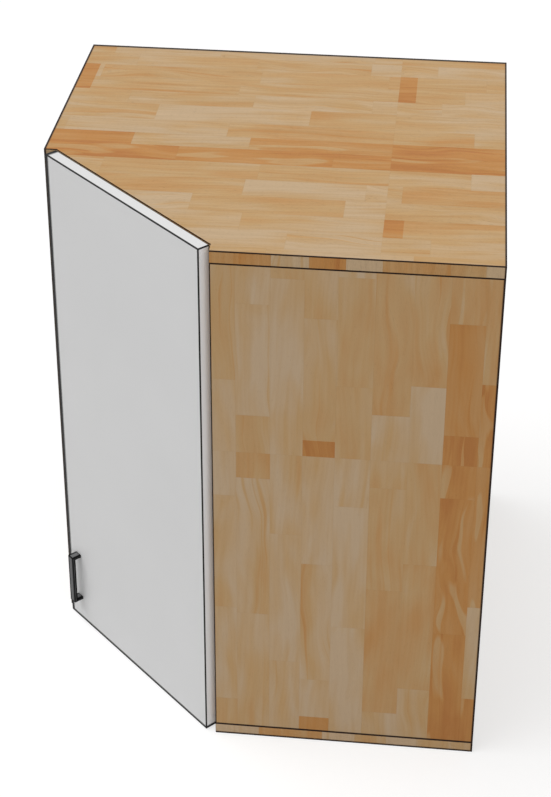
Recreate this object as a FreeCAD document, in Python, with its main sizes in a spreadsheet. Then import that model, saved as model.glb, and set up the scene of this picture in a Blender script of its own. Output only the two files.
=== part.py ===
import FreeCAD, Part
import math
import os
import Sketcher

# Diagonal corner wall cabinet: laminated boards, one slab door on two concealed hinges.
# The origin is the room corner at the cabinet's bottom. The walls are the planes X = 0 and
# Y = 0, the cabinet lies on the negative side of both, and Z is up.

doc = FreeCAD.newDocument("CornerWallCabinet")
sheet = doc.addObject("Spreadsheet::Sheet", "Sizes")

SIZES = [
    # carcass
    ("wall_run", 600.0, "length of the cabinet along each wall"),
    ("side_depth", 350.0, "depth of each side panel, from its wall to its front edge"),
    ("overall_height", 754.0, "height over the top and bottom panels"),
    ("board", 17.0, "thickness of the laminated boards"),
    ("edge_ease", 0.6, "radius on the arrises of the boards"),
    ("back_sheet", 4.0, "thickness of the back panels"),
    ("groove_depth", 8.0, "depth of the grooves for the back panels"),
    ("groove_play", 0.1, "clearance on each face of a back panel in its groove"),
    ("groove_end_play", 0.5, "clearance between a back panel's edge and its groove's floor"),
    ("post_cover", 17.0, "wood of the corner post in front of its grooves"),
    ("post_pin_margin", 2.4, "wood between the corner post's pins and its grooves"),
    ("rail_height", 80.0, "height of the rails behind the back panels"),
    # shelves and their pins
    ("shelf_gap", 1.0, "clearance round a shelf"),
    ("shelf_setback", 24.0, "distance of a shelf's front edge from the carcass front"),
    ("hole_inset", 37.0, "distance of the front row of holes from the side's front edge"),
    ("rear_hole_inset", 60.0, "distance of the rear row of holes from the wall"),
    ("hole_pitch", 32.0, "pitch of the rows of holes"),
    ("pin_radius", 2.5, "radius of a shelf pin"),
    ("pin_seat", 8.0, "length of a shelf pin inside its hole"),
    ("pin_reach", 7.5, "length of a shelf pin under its shelf"),
    ("collar_radius", 4.0, "radius of a shelf pin's collar"),
    ("collar_thickness", 0.9, "thickness of a shelf pin's collar"),
    ("lower_shelf_step", 3.0, "hole of the row that carries the lower shelf, from zero"),
    ("upper_shelf_step", 10.0, "hole of the row that carries the upper shelf, from zero"),
    # joints between the boards
    ("fit_play", 0.05, "radial clearance of pins, dowels and screws in their holes"),
    ("hole_end_play", 1.0, "clearance at the blind end of a hole"),
    ("dowel_radius", 4.0, "radius of a dowel"),
    ("dowel_in_panel", 11.0, "length of a dowel in a board's face"),
    ("dowel_in_edge", 24.0, "length of a dowel in a board's end"),
    ("cam_radius", 7.5, "radius of a cam lock"),
    ("cam_end_wall", 0.4, "metal of a cam lock beyond the bolt's head"),
    ("cam_slot_length", 10.0, "length of the driver slot in a cam lock"),
    ("cam_slot_width", 1.0, "width of the driver slot in a cam lock"),
    ("cam_slot_depth", 0.9, "depth of the driver slot in a cam lock"),
    ("cam_setback", 34.0, "distance of a cam lock from the board's end"),
    ("cam_front_inset", 64.0, "distance of the front cam locks from the side's front edge"),
    ("cam_wall_inset", 96.0, "distance of the rear cam locks from the wall"),
    ("cam_to_dowel", 32.0, "distance from a cam lock to the dowel beside it"),
    ("bolt_radius", 3.0, "radius of a cam bolt"),
    ("bolt_head_radius", 3.4, "radius of a cam bolt's head"),
    ("bolt_neck_radius", 2.0, "radius of a cam bolt's neck inside the cam lock"),
    ("bolt_thread", 11.0, "length of a cam bolt in a board's face"),
    # wall fixing
    ("wall_hole_radius", 3.0, "radius of the wall screw holes in the upper rails"),
    ("wall_hole_spacing", 380.0, "distance between the two wall screw holes of a rail"),
    # door
    ("door_thickness", 17.0, "thickness of the door"),
    ("door_gap", 1.5, "gap between the door and the carcass front"),
    ("door_reveal", 1.0, "how far the door stops short of the top and bottom"),
    ("door_end_inset", 0.5, "how far the door stops short of each side panel"),
    ("bumper_radius", 4.0, "radius of a door bumper"),
    ("bumper_slack", 0.1, "gap between a bumper and the carcass with the door closed"),
    ("bumper_inset", 14.0, "distance of the bumpers from the door's free edge"),
    # handle
    ("handle_centres", 76.0, "distance between the handle's screws"),
    ("handle_height", 80.0, "height of the handle's middle above the cabinet's bottom"),
    ("handle_inset", 26.0, "distance of the handle's centre line from the door's free edge"),
    ("handle_width", 12.0, "width of the handle's bar"),
    ("handle_bar", 4.8, "thickness of the handle's bar"),
    ("handle_leg", 4.6, "thickness of the handle's legs"),
    ("handle_reach", 14.5, "how far the handle stands out from the door"),
    ("handle_ease", 0.5, "radius on the handle's arrises"),
    ("handle_screw_radius", 1.5, "radius of the handle screws"),
    ("handle_screw_grip", 8.0, "length of a handle screw inside its leg"),
    # hinges: places are measured along the door from the side's inner corner, and outwards
    ("hinge_height", 89.0, "height of a hinge above the bottom or below the top"),
    ("cup_inset", 22.5, "distance of the hinge cup's centre from the side's inner corner"),
    ("cup_radius", 17.5, "radius of the hinge cup"),
    ("cup_depth", 12.0, "depth of the hinge cup in the door"),
    ("cup_wall", 0.8, "wall of the hinge cup"),
    ("flange_thickness", 1.0, "thickness of the cup's flange"),
    ("flange_lap", 2.0, "how far the flange reaches past the cup"),
    ("ear_spacing", 48.0, "distance between the cup's two screws"),
    ("ear_offset", 6.0, "how far the cup's screws lie behind its centre"),
    ("ear_radius", 7.0, "radius of the flange's ears"),
    ("arm_pivot_in_along", 25.3, "inner link's pivot on the arm, along the door"),
    ("arm_pivot_in_out", 8.0, "inner link's pivot on the arm, outwards"),
    ("arm_pivot_out_along", 32.6, "outer link's pivot on the arm, along the door"),
    ("arm_pivot_out_out", -7.1, "outer link's pivot on the arm, outwards"),
    ("cup_pivot_in_along", 13.2, "inner link's pivot in the cup, along the door"),
    ("cup_pivot_in_out", 6.9, "inner link's pivot in the cup, outwards"),
    ("cup_pivot_out_along", 11.1, "outer link's pivot in the cup, along the door"),
    ("cup_pivot_out_out", 3.0, "outer link's pivot in the cup, outwards"),
    ("outer_bend_along", 4.0, "bend of the outer link, along from its cup pivot"),
    ("outer_bend_aside", 3.2, "bend of the outer link, away from the cup's rim"),
    ("inner_bend_along", 6.0, "bend of the inner link, along from its cup pivot"),
    ("inner_bend_aside", 1.6, "bend of the inner link, away from the cup's rim"),
    ("arm_neck", 4.0, "start of the arm's neck, from its outer pivot"),
    ("pivot_radius", 1.1, "radius of the hinge's pins"),
    ("open_pivot_play", 1.3, "extra radial play at the inner link's pivot in the cup"),
    ("eye_wall", 1.5, "metal round a pin in a link or arm"),
    ("inner_link_half", 2.4, "half the inner link's thickness"),
    ("arm_cheek_in", 2.8, "inner face of the arm's cheeks, from the hinge's middle"),
    ("arm_cheek_out", 4.2, "outer face of the arm's cheeks"),
    ("outer_link_in", 4.6, "inner face of the outer link plates"),
    ("outer_link_out", 6.0, "outer face of the outer link plates"),
    ("boss_in", 6.5, "inner face of the cup's pin bosses"),
    ("pin_end", 9.0, "end of the cup's pins, from the hinge's middle"),
    ("arm_low", 13.0, "underside of the arm, off the side panel"),
    ("arm_high", 24.0, "top of the arm, off the side panel"),
    ("arm_start", -6.0, "start of the arm's channel, behind the side's front edge"),
    ("arm_end", 75.0, "end of the arm, behind the side's front edge"),
    ("arm_web", 1.4, "thickness of the arm's web"),
    ("plate_thickness", 2.5, "thickness of the mounting plate's wings"),
    ("plate_width", 14.0, "width of the mounting plate's wings"),
    ("plate_screw_spacing", 32.0, "distance between the mounting plate's screws"),
    ("plate_half", 5.5, "half the width of the mounting plate's ridge"),
    ("plate_start", 14.0, "start of the ridge behind the side's front edge"),
    ("plate_end", 70.0, "end of the ridge behind the side's front edge"),
    ("wood_screw_radius", 2.0, "radius of the hinge's wood screws"),
    ("screw_grip", 11.0, "length of a hinge screw in the wood"),
    ("screw_head_radius", 3.5, "radius of a screw head"),
    ("screw_head", 1.8, "thickness of a screw head"),
]


class Size:
    """A number that keeps the sheet formula it comes from."""

    def __init__(self, value, text):
        self.value = value
        self.text = text

    def __add__(self, other):
        other = as_size(other)
        return Size(self.value + other.value, "(%s + %s)" % (self.text, other.text))

    def __sub__(self, other):
        other = as_size(other)
        return Size(self.value - other.value, "(%s - %s)" % (self.text, other.text))

    def __mul__(self, other):
        other = as_size(other)
        return Size(self.value * other.value, "(%s * %s)" % (self.text, other.text))

    def __truediv__(self, other):
        other = as_size(other)
        return Size(self.value / other.value, "(%s / %s)" % (self.text, other.text))

    def __radd__(self, other):
        return as_size(other) + self

    def __rsub__(self, other):
        return as_size(other) - self

    def __rmul__(self, other):
        return as_size(other) * self

    def __neg__(self):
        return Size(-self.value, "(-1 * %s)" % self.text)


def as_size(number):
    if isinstance(number, Size):
        return number
    return Size(float(number), "(%.9f)" % number)


def length_of(dx, dy):
    return Size(math.hypot(dx.value, dy.value), "sqrt(%s ^ 2 + %s ^ 2)" % (dx.text, dy.text))


def direction_of(dx, dy):
    """The direction of a run, in degrees."""
    degrees = math.degrees(math.atan2(dy.value, dx.value))
    return Size(degrees, "(atan2(%s; %s) / (1 deg))" % (dy.text, dx.text))


def whole_steps(run, pitch):
    return Size(math.floor(run.value / pitch.value), "floor(%s / %s)" % (run.text, pitch.text))


for row, (word, value, note) in enumerate(SIZES, start=1):
    sheet.set("A%d" % row, word)
    sheet.set("B%d" % row, str(value))
    sheet.setAlias("B%d" % row, word)
    sheet.set("C%d" % row, note)
doc.recompute()

size = {word: Size(float(sheet.get(word)), "Sizes." + word) for word, _, _ in SIZES}

ZERO = as_size(0.0)
HALF_ROOT = math.sqrt(0.5)
nodes = {}


# ---- helpers -------------------------------------------------------------------------

def bind(thing, prop, amount):
    thing.setExpression(prop, as_size(amount).text)


def vector(x, y, z):
    return FreeCAD.Vector(as_size(x).value, as_size(y).value, as_size(z).value)


def turn(axis, degrees):
    return FreeCAD.Rotation(FreeCAD.Vector(*axis), degrees)


UPRIGHT = turn((0, 0, 1), 0)
ALONG_X = turn((0, 1, 0), 90)
ALONG_Y = turn((1, 0, 0), -90)
AGAINST_Y = turn((1, 0, 0), 90)
AGAINST_X = turn((0, 1, 0), -90)
UPSIDE_DOWN = turn((1, 0, 0), 180)


class Frame:
    """A place and a heading about Z; places inside it are given as sizes."""

    def __init__(self, x, y, z, degrees):
        self.origin = (as_size(x), as_size(y), as_size(z))
        self.degrees = degrees

    def world(self, x, y, z):
        x, y, z = as_size(x), as_size(y), as_size(z)
        if self.degrees == 0:
            return self.origin[0] + x, self.origin[1] + y, self.origin[2] + z
        c = math.cos(math.radians(self.degrees))
        s = math.sin(math.radians(self.degrees))
        return (self.origin[0] + x * c - y * s, self.origin[1] + x * s + y * c, self.origin[2] + z)

    def put(self, thing, x=ZERO, y=ZERO, z=ZERO, tilt=UPRIGHT):
        place = self.world(x, y, z)
        rotation = turn((0, 0, 1), self.degrees).multiply(tilt)
        thing.Placement = FreeCAD.Placement(vector(*place), rotation)
        for axis, amount in zip("xyz", place):
            bind(thing, "Placement.Base." + axis, amount)
        return thing


def box(name, frame, corner, spans):
    """A block from its lowest corner in the frame."""
    block = doc.addObject("Part::Box", name)
    for prop, span in zip(("Length", "Width", "Height"), spans):
        bind(block, prop, span)
    return frame.put(block, *corner)


def rod(name, frame, start, tilt, radius, length):
    """A round bar from its start, along the tilted Z axis."""
    bar = doc.addObject("Part::Cylinder", name)
    bind(bar, "Radius", radius)
    bind(bar, "Height", length)
    return frame.put(bar, *start, tilt=tilt)


def fuse(name, parts):
    joined = doc.addObject("Part::MultiFuse", name)
    joined.Shapes = parts
    joined.Refine = True
    return joined


def cut(name, base, tools):
    tool = tools[0]
    if len(tools) > 1:
        tool = doc.addObject("Part::MultiFuse", name + "_tools")
        tool.Shapes = tools
    result = doc.addObject("Part::Cut", name)
    result.Base = base
    result.Tool = tool
    return result


def mirrored(name, source, base, normal):
    twin = doc.addObject("Part::Mirroring", name)
    twin.Source = source
    twin.Normal = FreeCAD.Vector(*normal)
    for axis, amount in zip("xyz", base):
        bind(twin, "Base." + axis, amount)
    return twin


def across_corner(name, source):
    """The same piece on the other wall."""
    return mirrored(name, source, (ZERO, ZERO, ZERO), (1, -1, 0))


def group(name, pieces):
    bundle = doc.addObject("Part::Compound", name)
    bundle.Links = pieces
    return bundle


def copies(name, master, stations):
    """Links to one master piece, one for each (frame, place, tilt)."""
    links = []
    for number, (frame, place, tilt) in enumerate(stations, start=1):
        link = doc.addObject("App::Link", "%s_%d" % (name, number))
        link.LinkedObject = master
        link.LinkTransform = True
        frame.put(link, *place, tilt=tilt)
        links.append(link)
    return links


def node(name, thing):
    thing.Label = name
    nodes[name] = thing
    return thing


def fix_point(sketch, geometry, point, x, y):
    """Ties one sketch point to the sketch's origin by sizes."""
    for kind, axis, amount in (("DistanceX", -2, as_size(x)), ("DistanceY", -1, as_size(y))):
        if amount.value == 0:
            sketch.addConstraint(Sketcher.Constraint("PointOnObject", geometry, point, axis))
        elif amount.value > 0:
            index = sketch.addConstraint(
                Sketcher.Constraint(kind, -1, 1, geometry, point, amount.value))
            bind(sketch, "Constraints[%d]" % index, amount)
        else:
            index = sketch.addConstraint(
                Sketcher.Constraint(kind, geometry, point, -1, 1, -amount.value))
            bind(sketch, "Constraints[%d]" % index, -amount)


def draw_outline(sketch, points):
    first = sketch.GeometryCount
    count = len(points)
    for number in range(count):
        start = vector(*points[number], 0)
        end = vector(*points[(number + 1) % count], 0)
        sketch.addGeometry(Part.LineSegment(start, end))
    for number in range(count):
        following = first + (number + 1) % count
        sketch.addConstraint(Sketcher.Constraint("Coincident", first + number, 2, following, 1))
    for number, (x, y) in enumerate(points):
        fix_point(sketch, first + number, 1, x, y)


def draw_circle(sketch, x, y, radius):
    circle = Part.Circle(vector(x, y, 0), FreeCAD.Vector(0, 0, 1), as_size(radius).value)
    index = sketch.addGeometry(circle)
    constraint = sketch.addConstraint(Sketcher.Constraint("Radius", index, as_size(radius).value))
    bind(sketch, "Constraints[%d]" % constraint, radius)
    fix_point(sketch, index, 3, x, y)


def new_sketch(body, name, level=ZERO):
    """A sketch on the body's own XY plane, lifted to a level."""
    sketch = body.newObject("Sketcher::SketchObject", name)
    plane = [part for part in body.Origin.OriginFeatures if part.Role == "XY_Plane"][0]
    sketch.AttachmentSupport = [(plane, "")]
    sketch.MapMode = "FlatFace"
    bind(sketch, "AttachmentOffset.Base.z", level)
    return sketch


def on_a_wall(edge):
    """Does an edge drawn in the room's plan lie against a wall?"""
    ends = [vertex.Point for vertex in edge.Vertexes]
    return all(point.x == 0 for point in ends) or all(point.y == 0 for point in ends)


def slab(name, outline, thickness, ease, stays_sharp=None):
    """A body: one outline padded upwards, with its arrises eased."""
    body = doc.addObject("PartDesign::Body", name)
    sketch = new_sketch(body, name + "_outline")
    draw_outline(sketch, outline)
    pad = body.newObject("PartDesign::Pad", name + "_pad")
    pad.Profile = sketch
    bind(pad, "Length", thickness)
    body.Tip = pad
    doc.recompute()
    eased = ["Edge%d" % number for number, edge in enumerate(pad.Shape.Edges, start=1)
             if stays_sharp is None or not stays_sharp(edge)]
    fillet = body.newObject("PartDesign::Fillet", name + "_arris")
    fillet.Base = (pad, eased)
    bind(fillet, "Radius", ease)
    body.Tip = fillet
    doc.recompute()
    return body


def sink(body, name, level, depth, upwards, circles=(), outlines=()):
    """Cuts holes or recesses from a level of the body, and makes sure that they cut."""
    before = body.Shape.Volume
    sketch = new_sketch(body, name + "_sketch", level)
    for circle in circles:
        draw_circle(sketch, *circle)
    for outline in outlines:
        draw_outline(sketch, outline)
    pocket = body.newObject("PartDesign::Pocket", name)
    pocket.Profile = sketch
    bind(pocket, "Length", depth)
    pocket.Reversed = upwards
    body.Tip = pocket
    doc.recompute()
    if not body.Shape.Volume < before:
        raise RuntimeError(name + " cuts nothing")
    return pocket


def rectangle(x_low, y_low, x_high, y_high):
    return [(x_low, y_low), (x_high, y_low), (x_high, y_high), (x_low, y_high)]


def bar(name, frame, start, end, radius, z_low, thickness):
    """A flat strip with round ends between two points of the frame's plan."""
    dx = as_size(end[0]) - start[0]
    dy = as_size(end[1]) - start[1]
    run = length_of(dx, dy)
    block = doc.addObject("Part::Box", name + "_strip")
    bind(block, "Length", run)
    bind(block, "Width", as_size(radius) * 2)
    bind(block, "Height", thickness)
    corner = (start[0] + dy / run * radius, start[1] - dx / run * radius, z_low)
    frame.put(block, *corner)
    bind(block, "Placement.Rotation.Angle", direction_of(dx, dy) + frame.degrees)
    ends = [rod("%s_end_%d" % (name, number), frame, (point[0], point[1], z_low), UPRIGHT,
                radius, thickness) for number, point in enumerate((start, end))]
    return fuse(name, [block] + ends)


# ---- places that several pieces share ---------------------------------------------------

room = Frame(ZERO, ZERO, ZERO, 0)
run, depth, board = size["wall_run"], size["side_depth"], size["board"]
inner_height = size["overall_height"] - board * 2
side_face = run - board                         # inner face of each side panel, off the wall
top_level = size["overall_height"] - board
mid_board = run - board / 2                     # middle of a side panel's thickness
post_width = board + size["back_sheet"] + size["post_cover"]
play = size["fit_play"]

# The door's frame: X along the door from the right side's inner corner, Y outwards.
DOOR_HEADING = 135.0
corner_x = -depth
corner_y = -side_face
door_width = (side_face - depth) * math.sqrt(2.0)
door_back = size["door_gap"]
door_front = door_back + size["door_thickness"]
door_left = door_width - size["door_end_inset"]

# ---- top and bottom panels ----------------------------------------------------------------

plan = [(ZERO, ZERO), (-run, ZERO), (-run, -depth), (-side_face, -depth),
        (-depth, -side_face), (-depth, -run), (ZERO, -run)]
# The edges against the walls stay sharp, so that the boards close up to them.
bottom = slab("bottom_board", plan, board, size["edge_ease"], on_a_wall)

groove_near = board - size["groove_play"]                       # off the wall
groove_far = board + size["back_sheet"] + size["groove_play"]
groove_end = side_face + size["groove_depth"]
groove_stop = post_width - size["groove_depth"]
right_groove = rectangle(-groove_far, -groove_end, -groove_near, -groove_stop)
left_groove = rectangle(-groove_end, -groove_far, -groove_stop, -groove_near)
sink(bottom, "bottom_grooves", board, size["groove_depth"], False,
     outlines=[right_groove, left_groove])

cam_places = [-depth + size["cam_front_inset"], -size["cam_wall_inset"]]
dowel_places = [cam_places[0] + size["cam_to_dowel"], cam_places[1] - size["cam_to_dowel"]]
post_middle = post_width / 2
side_joints = []
for place, radius in ([(x, size["dowel_radius"]) for x in dowel_places]
                      + [(x, size["bolt_radius"]) for x in cam_places]):
    side_joints += [(place, -mid_board, radius + play), (-mid_board, place, radius + play)]
side_joints.append((-post_middle, -post_middle, size["dowel_radius"] + play))
sink(bottom, "bottom_joint_holes", board, size["dowel_in_panel"] + size["hole_end_play"], False,
     circles=side_joints)
room.put(bottom)
node("bottom_panel", bottom)
node("top_panel", mirrored("top_board", bottom, (ZERO, ZERO, size["overall_height"] / 2),
                           (0, 0, 1)))

# ---- side panels ----------------------------------------------------------------------------

# Drawn flat on the inner face: X is the depth from the front edge, Y the height.
side = slab("side_board", rectangle(ZERO, ZERO, depth, inner_height), board, size["edge_ease"])
sink(side, "side_groove", ZERO, size["groove_depth"], True,
     outlines=[rectangle(depth - groove_far, ZERO, depth - groove_near, inner_height)])
cam_columns = [size["cam_front_inset"], depth - size["cam_wall_inset"]]
cam_middle = board / 2                          # the bolts run in the middle of the board
cam_thickness = cam_middle + size["bolt_head_radius"] + size["cam_end_wall"]
sink(side, "side_cam_holes", ZERO, cam_thickness, True,
     circles=[(x, y, size["cam_radius"] + play) for x in cam_columns
              for y in (size["cam_setback"], inner_height - size["cam_setback"])])

plate_screw_low = size["hinge_height"] - size["plate_screw_spacing"] / 2 - board
first_pin = plate_screw_low + size["hole_pitch"] * 2
row_run = inner_height - first_pin * 2
pin_columns = [size["hole_inset"], depth - size["rear_hole_inset"]]
pin_depth = size["pin_seat"] + size["hole_end_play"]
pin_holes = sink(side, "side_pin_holes", ZERO, pin_depth, True,
                 circles=[(x, first_pin, size["pin_radius"] + play) for x in pin_columns])
row_steps = whole_steps(row_run, size["hole_pitch"])
pin_rows = side.newObject("PartDesign::LinearPattern", "side_pin_rows")
pin_rows.Originals = [pin_holes]
pin_rows.Direction = (pin_holes.Profile[0], ["V_Axis"])
bind(pin_rows, "Length", row_steps * size["hole_pitch"])
bind(pin_rows, "Occurrences", row_steps + 1)
side.Tip = pin_rows
doc.recompute()
room.put(side, corner_x, corner_y, board, tilt=AGAINST_Y)

# Holes in the board's two ends and for the rails' dowels.
dowel_hole = size["dowel_radius"] + play
edge_dowel = size["dowel_in_edge"] + size["hole_end_play"]
side_holes = []
for number, place in enumerate(dowel_places):
    for end, level in (("low", board), ("high", top_level - edge_dowel)):
        side_holes.append(rod("side_dowel_hole_%s_%d" % (end, number), room,
                              (place, -mid_board, level), UPRIGHT, dowel_hole, edge_dowel))
for number, place in enumerate(cam_places):
    for end, level in (("low", board), ("high", top_level - size["cam_setback"])):
        side_holes.append(rod("side_bolt_hole_%s_%d" % (end, number), room,
                              (place, -mid_board, level), UPRIGHT,
                              size["bolt_head_radius"] + play, size["cam_setback"]))
rail_middle = board / 2
rail_levels = (board + size["rail_height"] / 2, top_level - size["rail_height"] / 2)
rail_dowel_end = size["dowel_in_panel"] + size["hole_end_play"]
for number, level in enumerate(rail_levels):
    side_holes.append(rod("side_rail_hole_%d" % number, room,
                          (-rail_middle, -side_face - rail_dowel_end, level), ALONG_Y,
                          dowel_hole, rail_dowel_end))
drilled_side = cut("drilled_side", side, side_holes)
node("left_side_panel", across_corner("left_side", drilled_side))

# ---- corner post, rails and back panels -----------------------------------------------------

post_block = slab("post_block", rectangle(-post_width, -post_width, ZERO, ZERO), inner_height,
                  size["edge_ease"], on_a_wall)
room.put(post_block, ZERO, ZERO, board)
post_cuts = [
    box("post_groove_right", room, (-groove_far, -post_width, board),
        (groove_far - groove_near, size["groove_depth"], inner_height)),
    box("post_groove_left", room, (-post_width, -groove_far, board),
        (size["groove_depth"], groove_far - groove_near, inner_height)),
    rod("post_dowel_hole_low", room, (-post_middle, -post_middle, board), UPRIGHT,
        dowel_hole, edge_dowel),
    rod("post_dowel_hole_high", room, (-post_middle, -post_middle, top_level - edge_dowel),
        UPRIGHT, dowel_hole, edge_dowel),
]
post_pin_place = groove_far + size["post_pin_margin"] + size["pin_radius"]
pin_axes = [board + first_pin + size["hole_pitch"] * size[step]
            for step in ("lower_shelf_step", "upper_shelf_step")]
for number, level in enumerate(rail_levels):
    post_cuts.append(rod("post_rail_hole_right_%d" % number, room,
                         (-rail_middle, -post_width, level), ALONG_Y, dowel_hole, rail_dowel_end))
    post_cuts.append(rod("post_rail_hole_left_%d" % number, room,
                         (-post_width, -rail_middle, level), ALONG_X, dowel_hole, rail_dowel_end))
for number, level in enumerate(pin_axes):
    post_cuts.append(rod("post_pin_hole_right_%d" % number, room,
                         (-post_pin_place, -post_width, level), ALONG_Y,
                         size["pin_radius"] + play, pin_depth))
    post_cuts.append(rod("post_pin_hole_left_%d" % number, room,
                         (-post_width, -post_pin_place, level), ALONG_X,
                         size["pin_radius"] + play, pin_depth))
node("corner_post", cut("post", post_block, post_cuts))

# The rails stand between the side panel and the post, behind the back panel.
rail_run = side_face - post_width
rail_centre = -(side_face + post_width) / 2
wall_holes = [rail_centre - size["wall_hole_spacing"] / 2,
              rail_centre + size["wall_hole_spacing"] / 2]
hole_reach = board + size["back_sheet"] + size["groove_play"] * 2
for name, level in zip(("lower", "upper"), rail_levels):
    # Drawn upright against the wall: X is the run along Y, Y the height.
    rail = slab(name + "_rail_board", rectangle(ZERO, ZERO, rail_run, size["rail_height"]), board,
                size["edge_ease"])
    base_level = level - size["rail_height"] / 2
    room.put(rail, -board, -side_face, base_level,
             tilt=turn((0, 0, 1), 90).multiply(turn((1, 0, 0), 90)))
    rail_cuts = [
        rod(name + "_rail_dowel_near", room, (-rail_middle, -post_width - edge_dowel, level),
            ALONG_Y, dowel_hole, edge_dowel),
        rod(name + "_rail_dowel_far", room, (-rail_middle, -side_face, level),
            ALONG_Y, dowel_hole, edge_dowel),
    ]
    if name == "upper":
        rail_cuts += [rod("rail_wall_hole_%d" % number, room, (-hole_reach, place, level), ALONG_X,
                          size["wall_hole_radius"], hole_reach)
                      for number, place in enumerate(wall_holes)]
    drilled_rail = node("right_%s_rail" % name, cut(name + "_rail", rail, rail_cuts))
    node("left_%s_rail" % name, across_corner("left_%s_rail_twin" % name, drilled_rail))

back_rim = size["groove_depth"] - size["groove_end_play"]
back_low = board - back_rim
back_run = side_face - post_width + back_rim * 2
back_height = inner_height + back_rim * 2
back_blank = box("back_blank", room, (-board - size["back_sheet"], -side_face - back_rim, back_low),
                 (size["back_sheet"], back_run, back_height))
back_cuts = [rod("back_wall_hole_%d" % number, room, (-hole_reach, place, rail_levels[1]), ALONG_X,
                 size["wall_hole_radius"], hole_reach) for number, place in enumerate(wall_holes)]
right_back = node("right_back_panel", cut("right_back", back_blank, back_cuts))
node("left_back_panel", across_corner("left_back", right_back))

# ---- shelves and their pins ------------------------------------------------------------------

gap = size["shelf_gap"]
shelf_wall = board + size["back_sheet"] + gap
shelf_notch = post_width + gap
shelf_side = side_face - gap
# Any point of the shelf's front edge has this sum of its two distances from the walls.
front_sum = side_face + depth - size["shelf_setback"] * math.sqrt(2.0)
shelf_plan = [(-shelf_notch, -shelf_wall), (-shelf_side, -shelf_wall),
              (-shelf_side, shelf_side - front_sum), (shelf_side - front_sum, -shelf_side),
              (-shelf_wall, -shelf_side), (-shelf_wall, -shelf_notch),
              (-shelf_notch, -shelf_notch)]

pin_master = fuse("shelf_pin", [
    rod("shelf_pin_seat", room, (ZERO, ZERO, -size["pin_seat"]), UPRIGHT, size["pin_radius"],
        size["pin_seat"] + size["pin_reach"]),
    rod("shelf_pin_collar", room, (ZERO, ZERO, ZERO), UPRIGHT, size["collar_radius"],
        size["collar_thickness"]),
])
pin_rows_x = [-depth + size["hole_inset"], -size["rear_hole_inset"]]
for name, axis_level in zip(("lower", "upper"), pin_axes):
    shelf = slab(name + "_shelf_board", shelf_plan, board, size["edge_ease"])
    room.put(shelf, ZERO, ZERO, axis_level + size["pin_radius"])
    node(name + "_shelf", shelf)
    stations = [(room, (x, -side_face, axis_level), ALONG_Y) for x in pin_rows_x]
    stations += [(room, (-side_face, x, axis_level), ALONG_X) for x in pin_rows_x]
    stations += [(room, (-post_pin_place, -post_width, axis_level), AGAINST_Y),
                 (room, (-post_width, -post_pin_place, axis_level), AGAINST_X)]
    node(name + "_shelf_pins", group(name + "_pins", copies(name + "_pin", pin_master, stations)))

# ---- dowels, cam bolts and cam locks -----------------------------------------------------------

dowel = rod("dowel", room, (ZERO, ZERO, -size["dowel_in_panel"]), UPRIGHT, size["dowel_radius"],
            size["dowel_in_panel"] + size["dowel_in_edge"])
dowel_ends = []
for x, y in ([(place, -mid_board) for place in dowel_places]
             + [(-mid_board, place) for place in dowel_places] + [(-post_middle, -post_middle)]):
    dowel_ends += [(room, (x, y, board), UPRIGHT), (room, (x, y, top_level), UPSIDE_DOWN)]
node("panel_dowels", group("panel_dowel_set", copies("panel_dowel", dowel, dowel_ends)))

rail_ends = []
for level in rail_levels:
    rail_ends += [(room, (-rail_middle, -side_face, level), ALONG_Y),
                  (room, (-rail_middle, -post_width, level), AGAINST_Y),
                  (room, (-side_face, -rail_middle, level), ALONG_X),
                  (room, (-post_width, -rail_middle, level), AGAINST_X)]
node("rail_dowels", group("rail_dowel_set", copies("rail_dowel", dowel, rail_ends)))

# A cam lock is a drum with a driver slot, hollowed from one side for the bolt's head.
drum = rod("cam_drum", room, (ZERO, ZERO, ZERO), UPRIGHT, size["cam_radius"], cam_thickness)
head_room = size["bolt_head_radius"] + play
cam_master = cut("cam_lock", drum, [
    rod("cam_mouth", room, (-size["cam_radius"], ZERO, cam_middle), ALONG_X, head_room,
        size["cam_radius"] + head_room),
    box("cam_slot", room, (-size["cam_slot_length"] / 2, -size["cam_slot_width"] / 2, ZERO),
        (size["cam_slot_length"], size["cam_slot_width"], size["cam_slot_depth"])),
])
mouth_down = turn((0, 0, 1), 90)
mouth_up = turn((0, 0, 1), -90)
bolt_head_length = size["bolt_head_radius"]
bolt_master = fuse("cam_bolt", [
    rod("bolt_shank", room, (ZERO, ZERO, -size["bolt_thread"]), UPRIGHT, size["bolt_radius"],
        size["bolt_thread"] + size["cam_setback"] - size["cam_radius"]),
    rod("bolt_neck", room, (ZERO, ZERO, ZERO), UPRIGHT, size["bolt_neck_radius"],
        size["cam_setback"]),
    rod("bolt_head", room, (ZERO, ZERO, size["cam_setback"] - bolt_head_length / 2), UPRIGHT,
        size["bolt_head_radius"], bolt_head_length),
])
cam_stations = []
bolt_stations = []
for place in cam_places:
    for level, spin in ((board + size["cam_setback"], mouth_down),
                        (top_level - size["cam_setback"], mouth_up)):
        cam_stations.append((room, (place, -side_face, level), AGAINST_Y.multiply(spin)))
        cam_stations.append((room, (-side_face, place, level),
                             turn((0, 0, 1), -90).multiply(AGAINST_Y).multiply(spin)))
    for x, y in ((place, -mid_board), (-mid_board, place)):
        bolt_stations += [(room, (x, y, board), UPRIGHT), (room, (x, y, top_level), UPSIDE_DOWN)]
node("cam_locks", group("cam_lock_set", copies("cam", cam_master, cam_stations)))
node("cam_bolts", group("cam_bolt_set", copies("bolt", bolt_master, bolt_stations)))

# ---- door, handle and bumpers -------------------------------------------------------------------

face = Frame(corner_x, corner_y, ZERO, DOOR_HEADING)
door_low = size["door_reveal"]
door_high = size["overall_height"] - size["door_reveal"]
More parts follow.
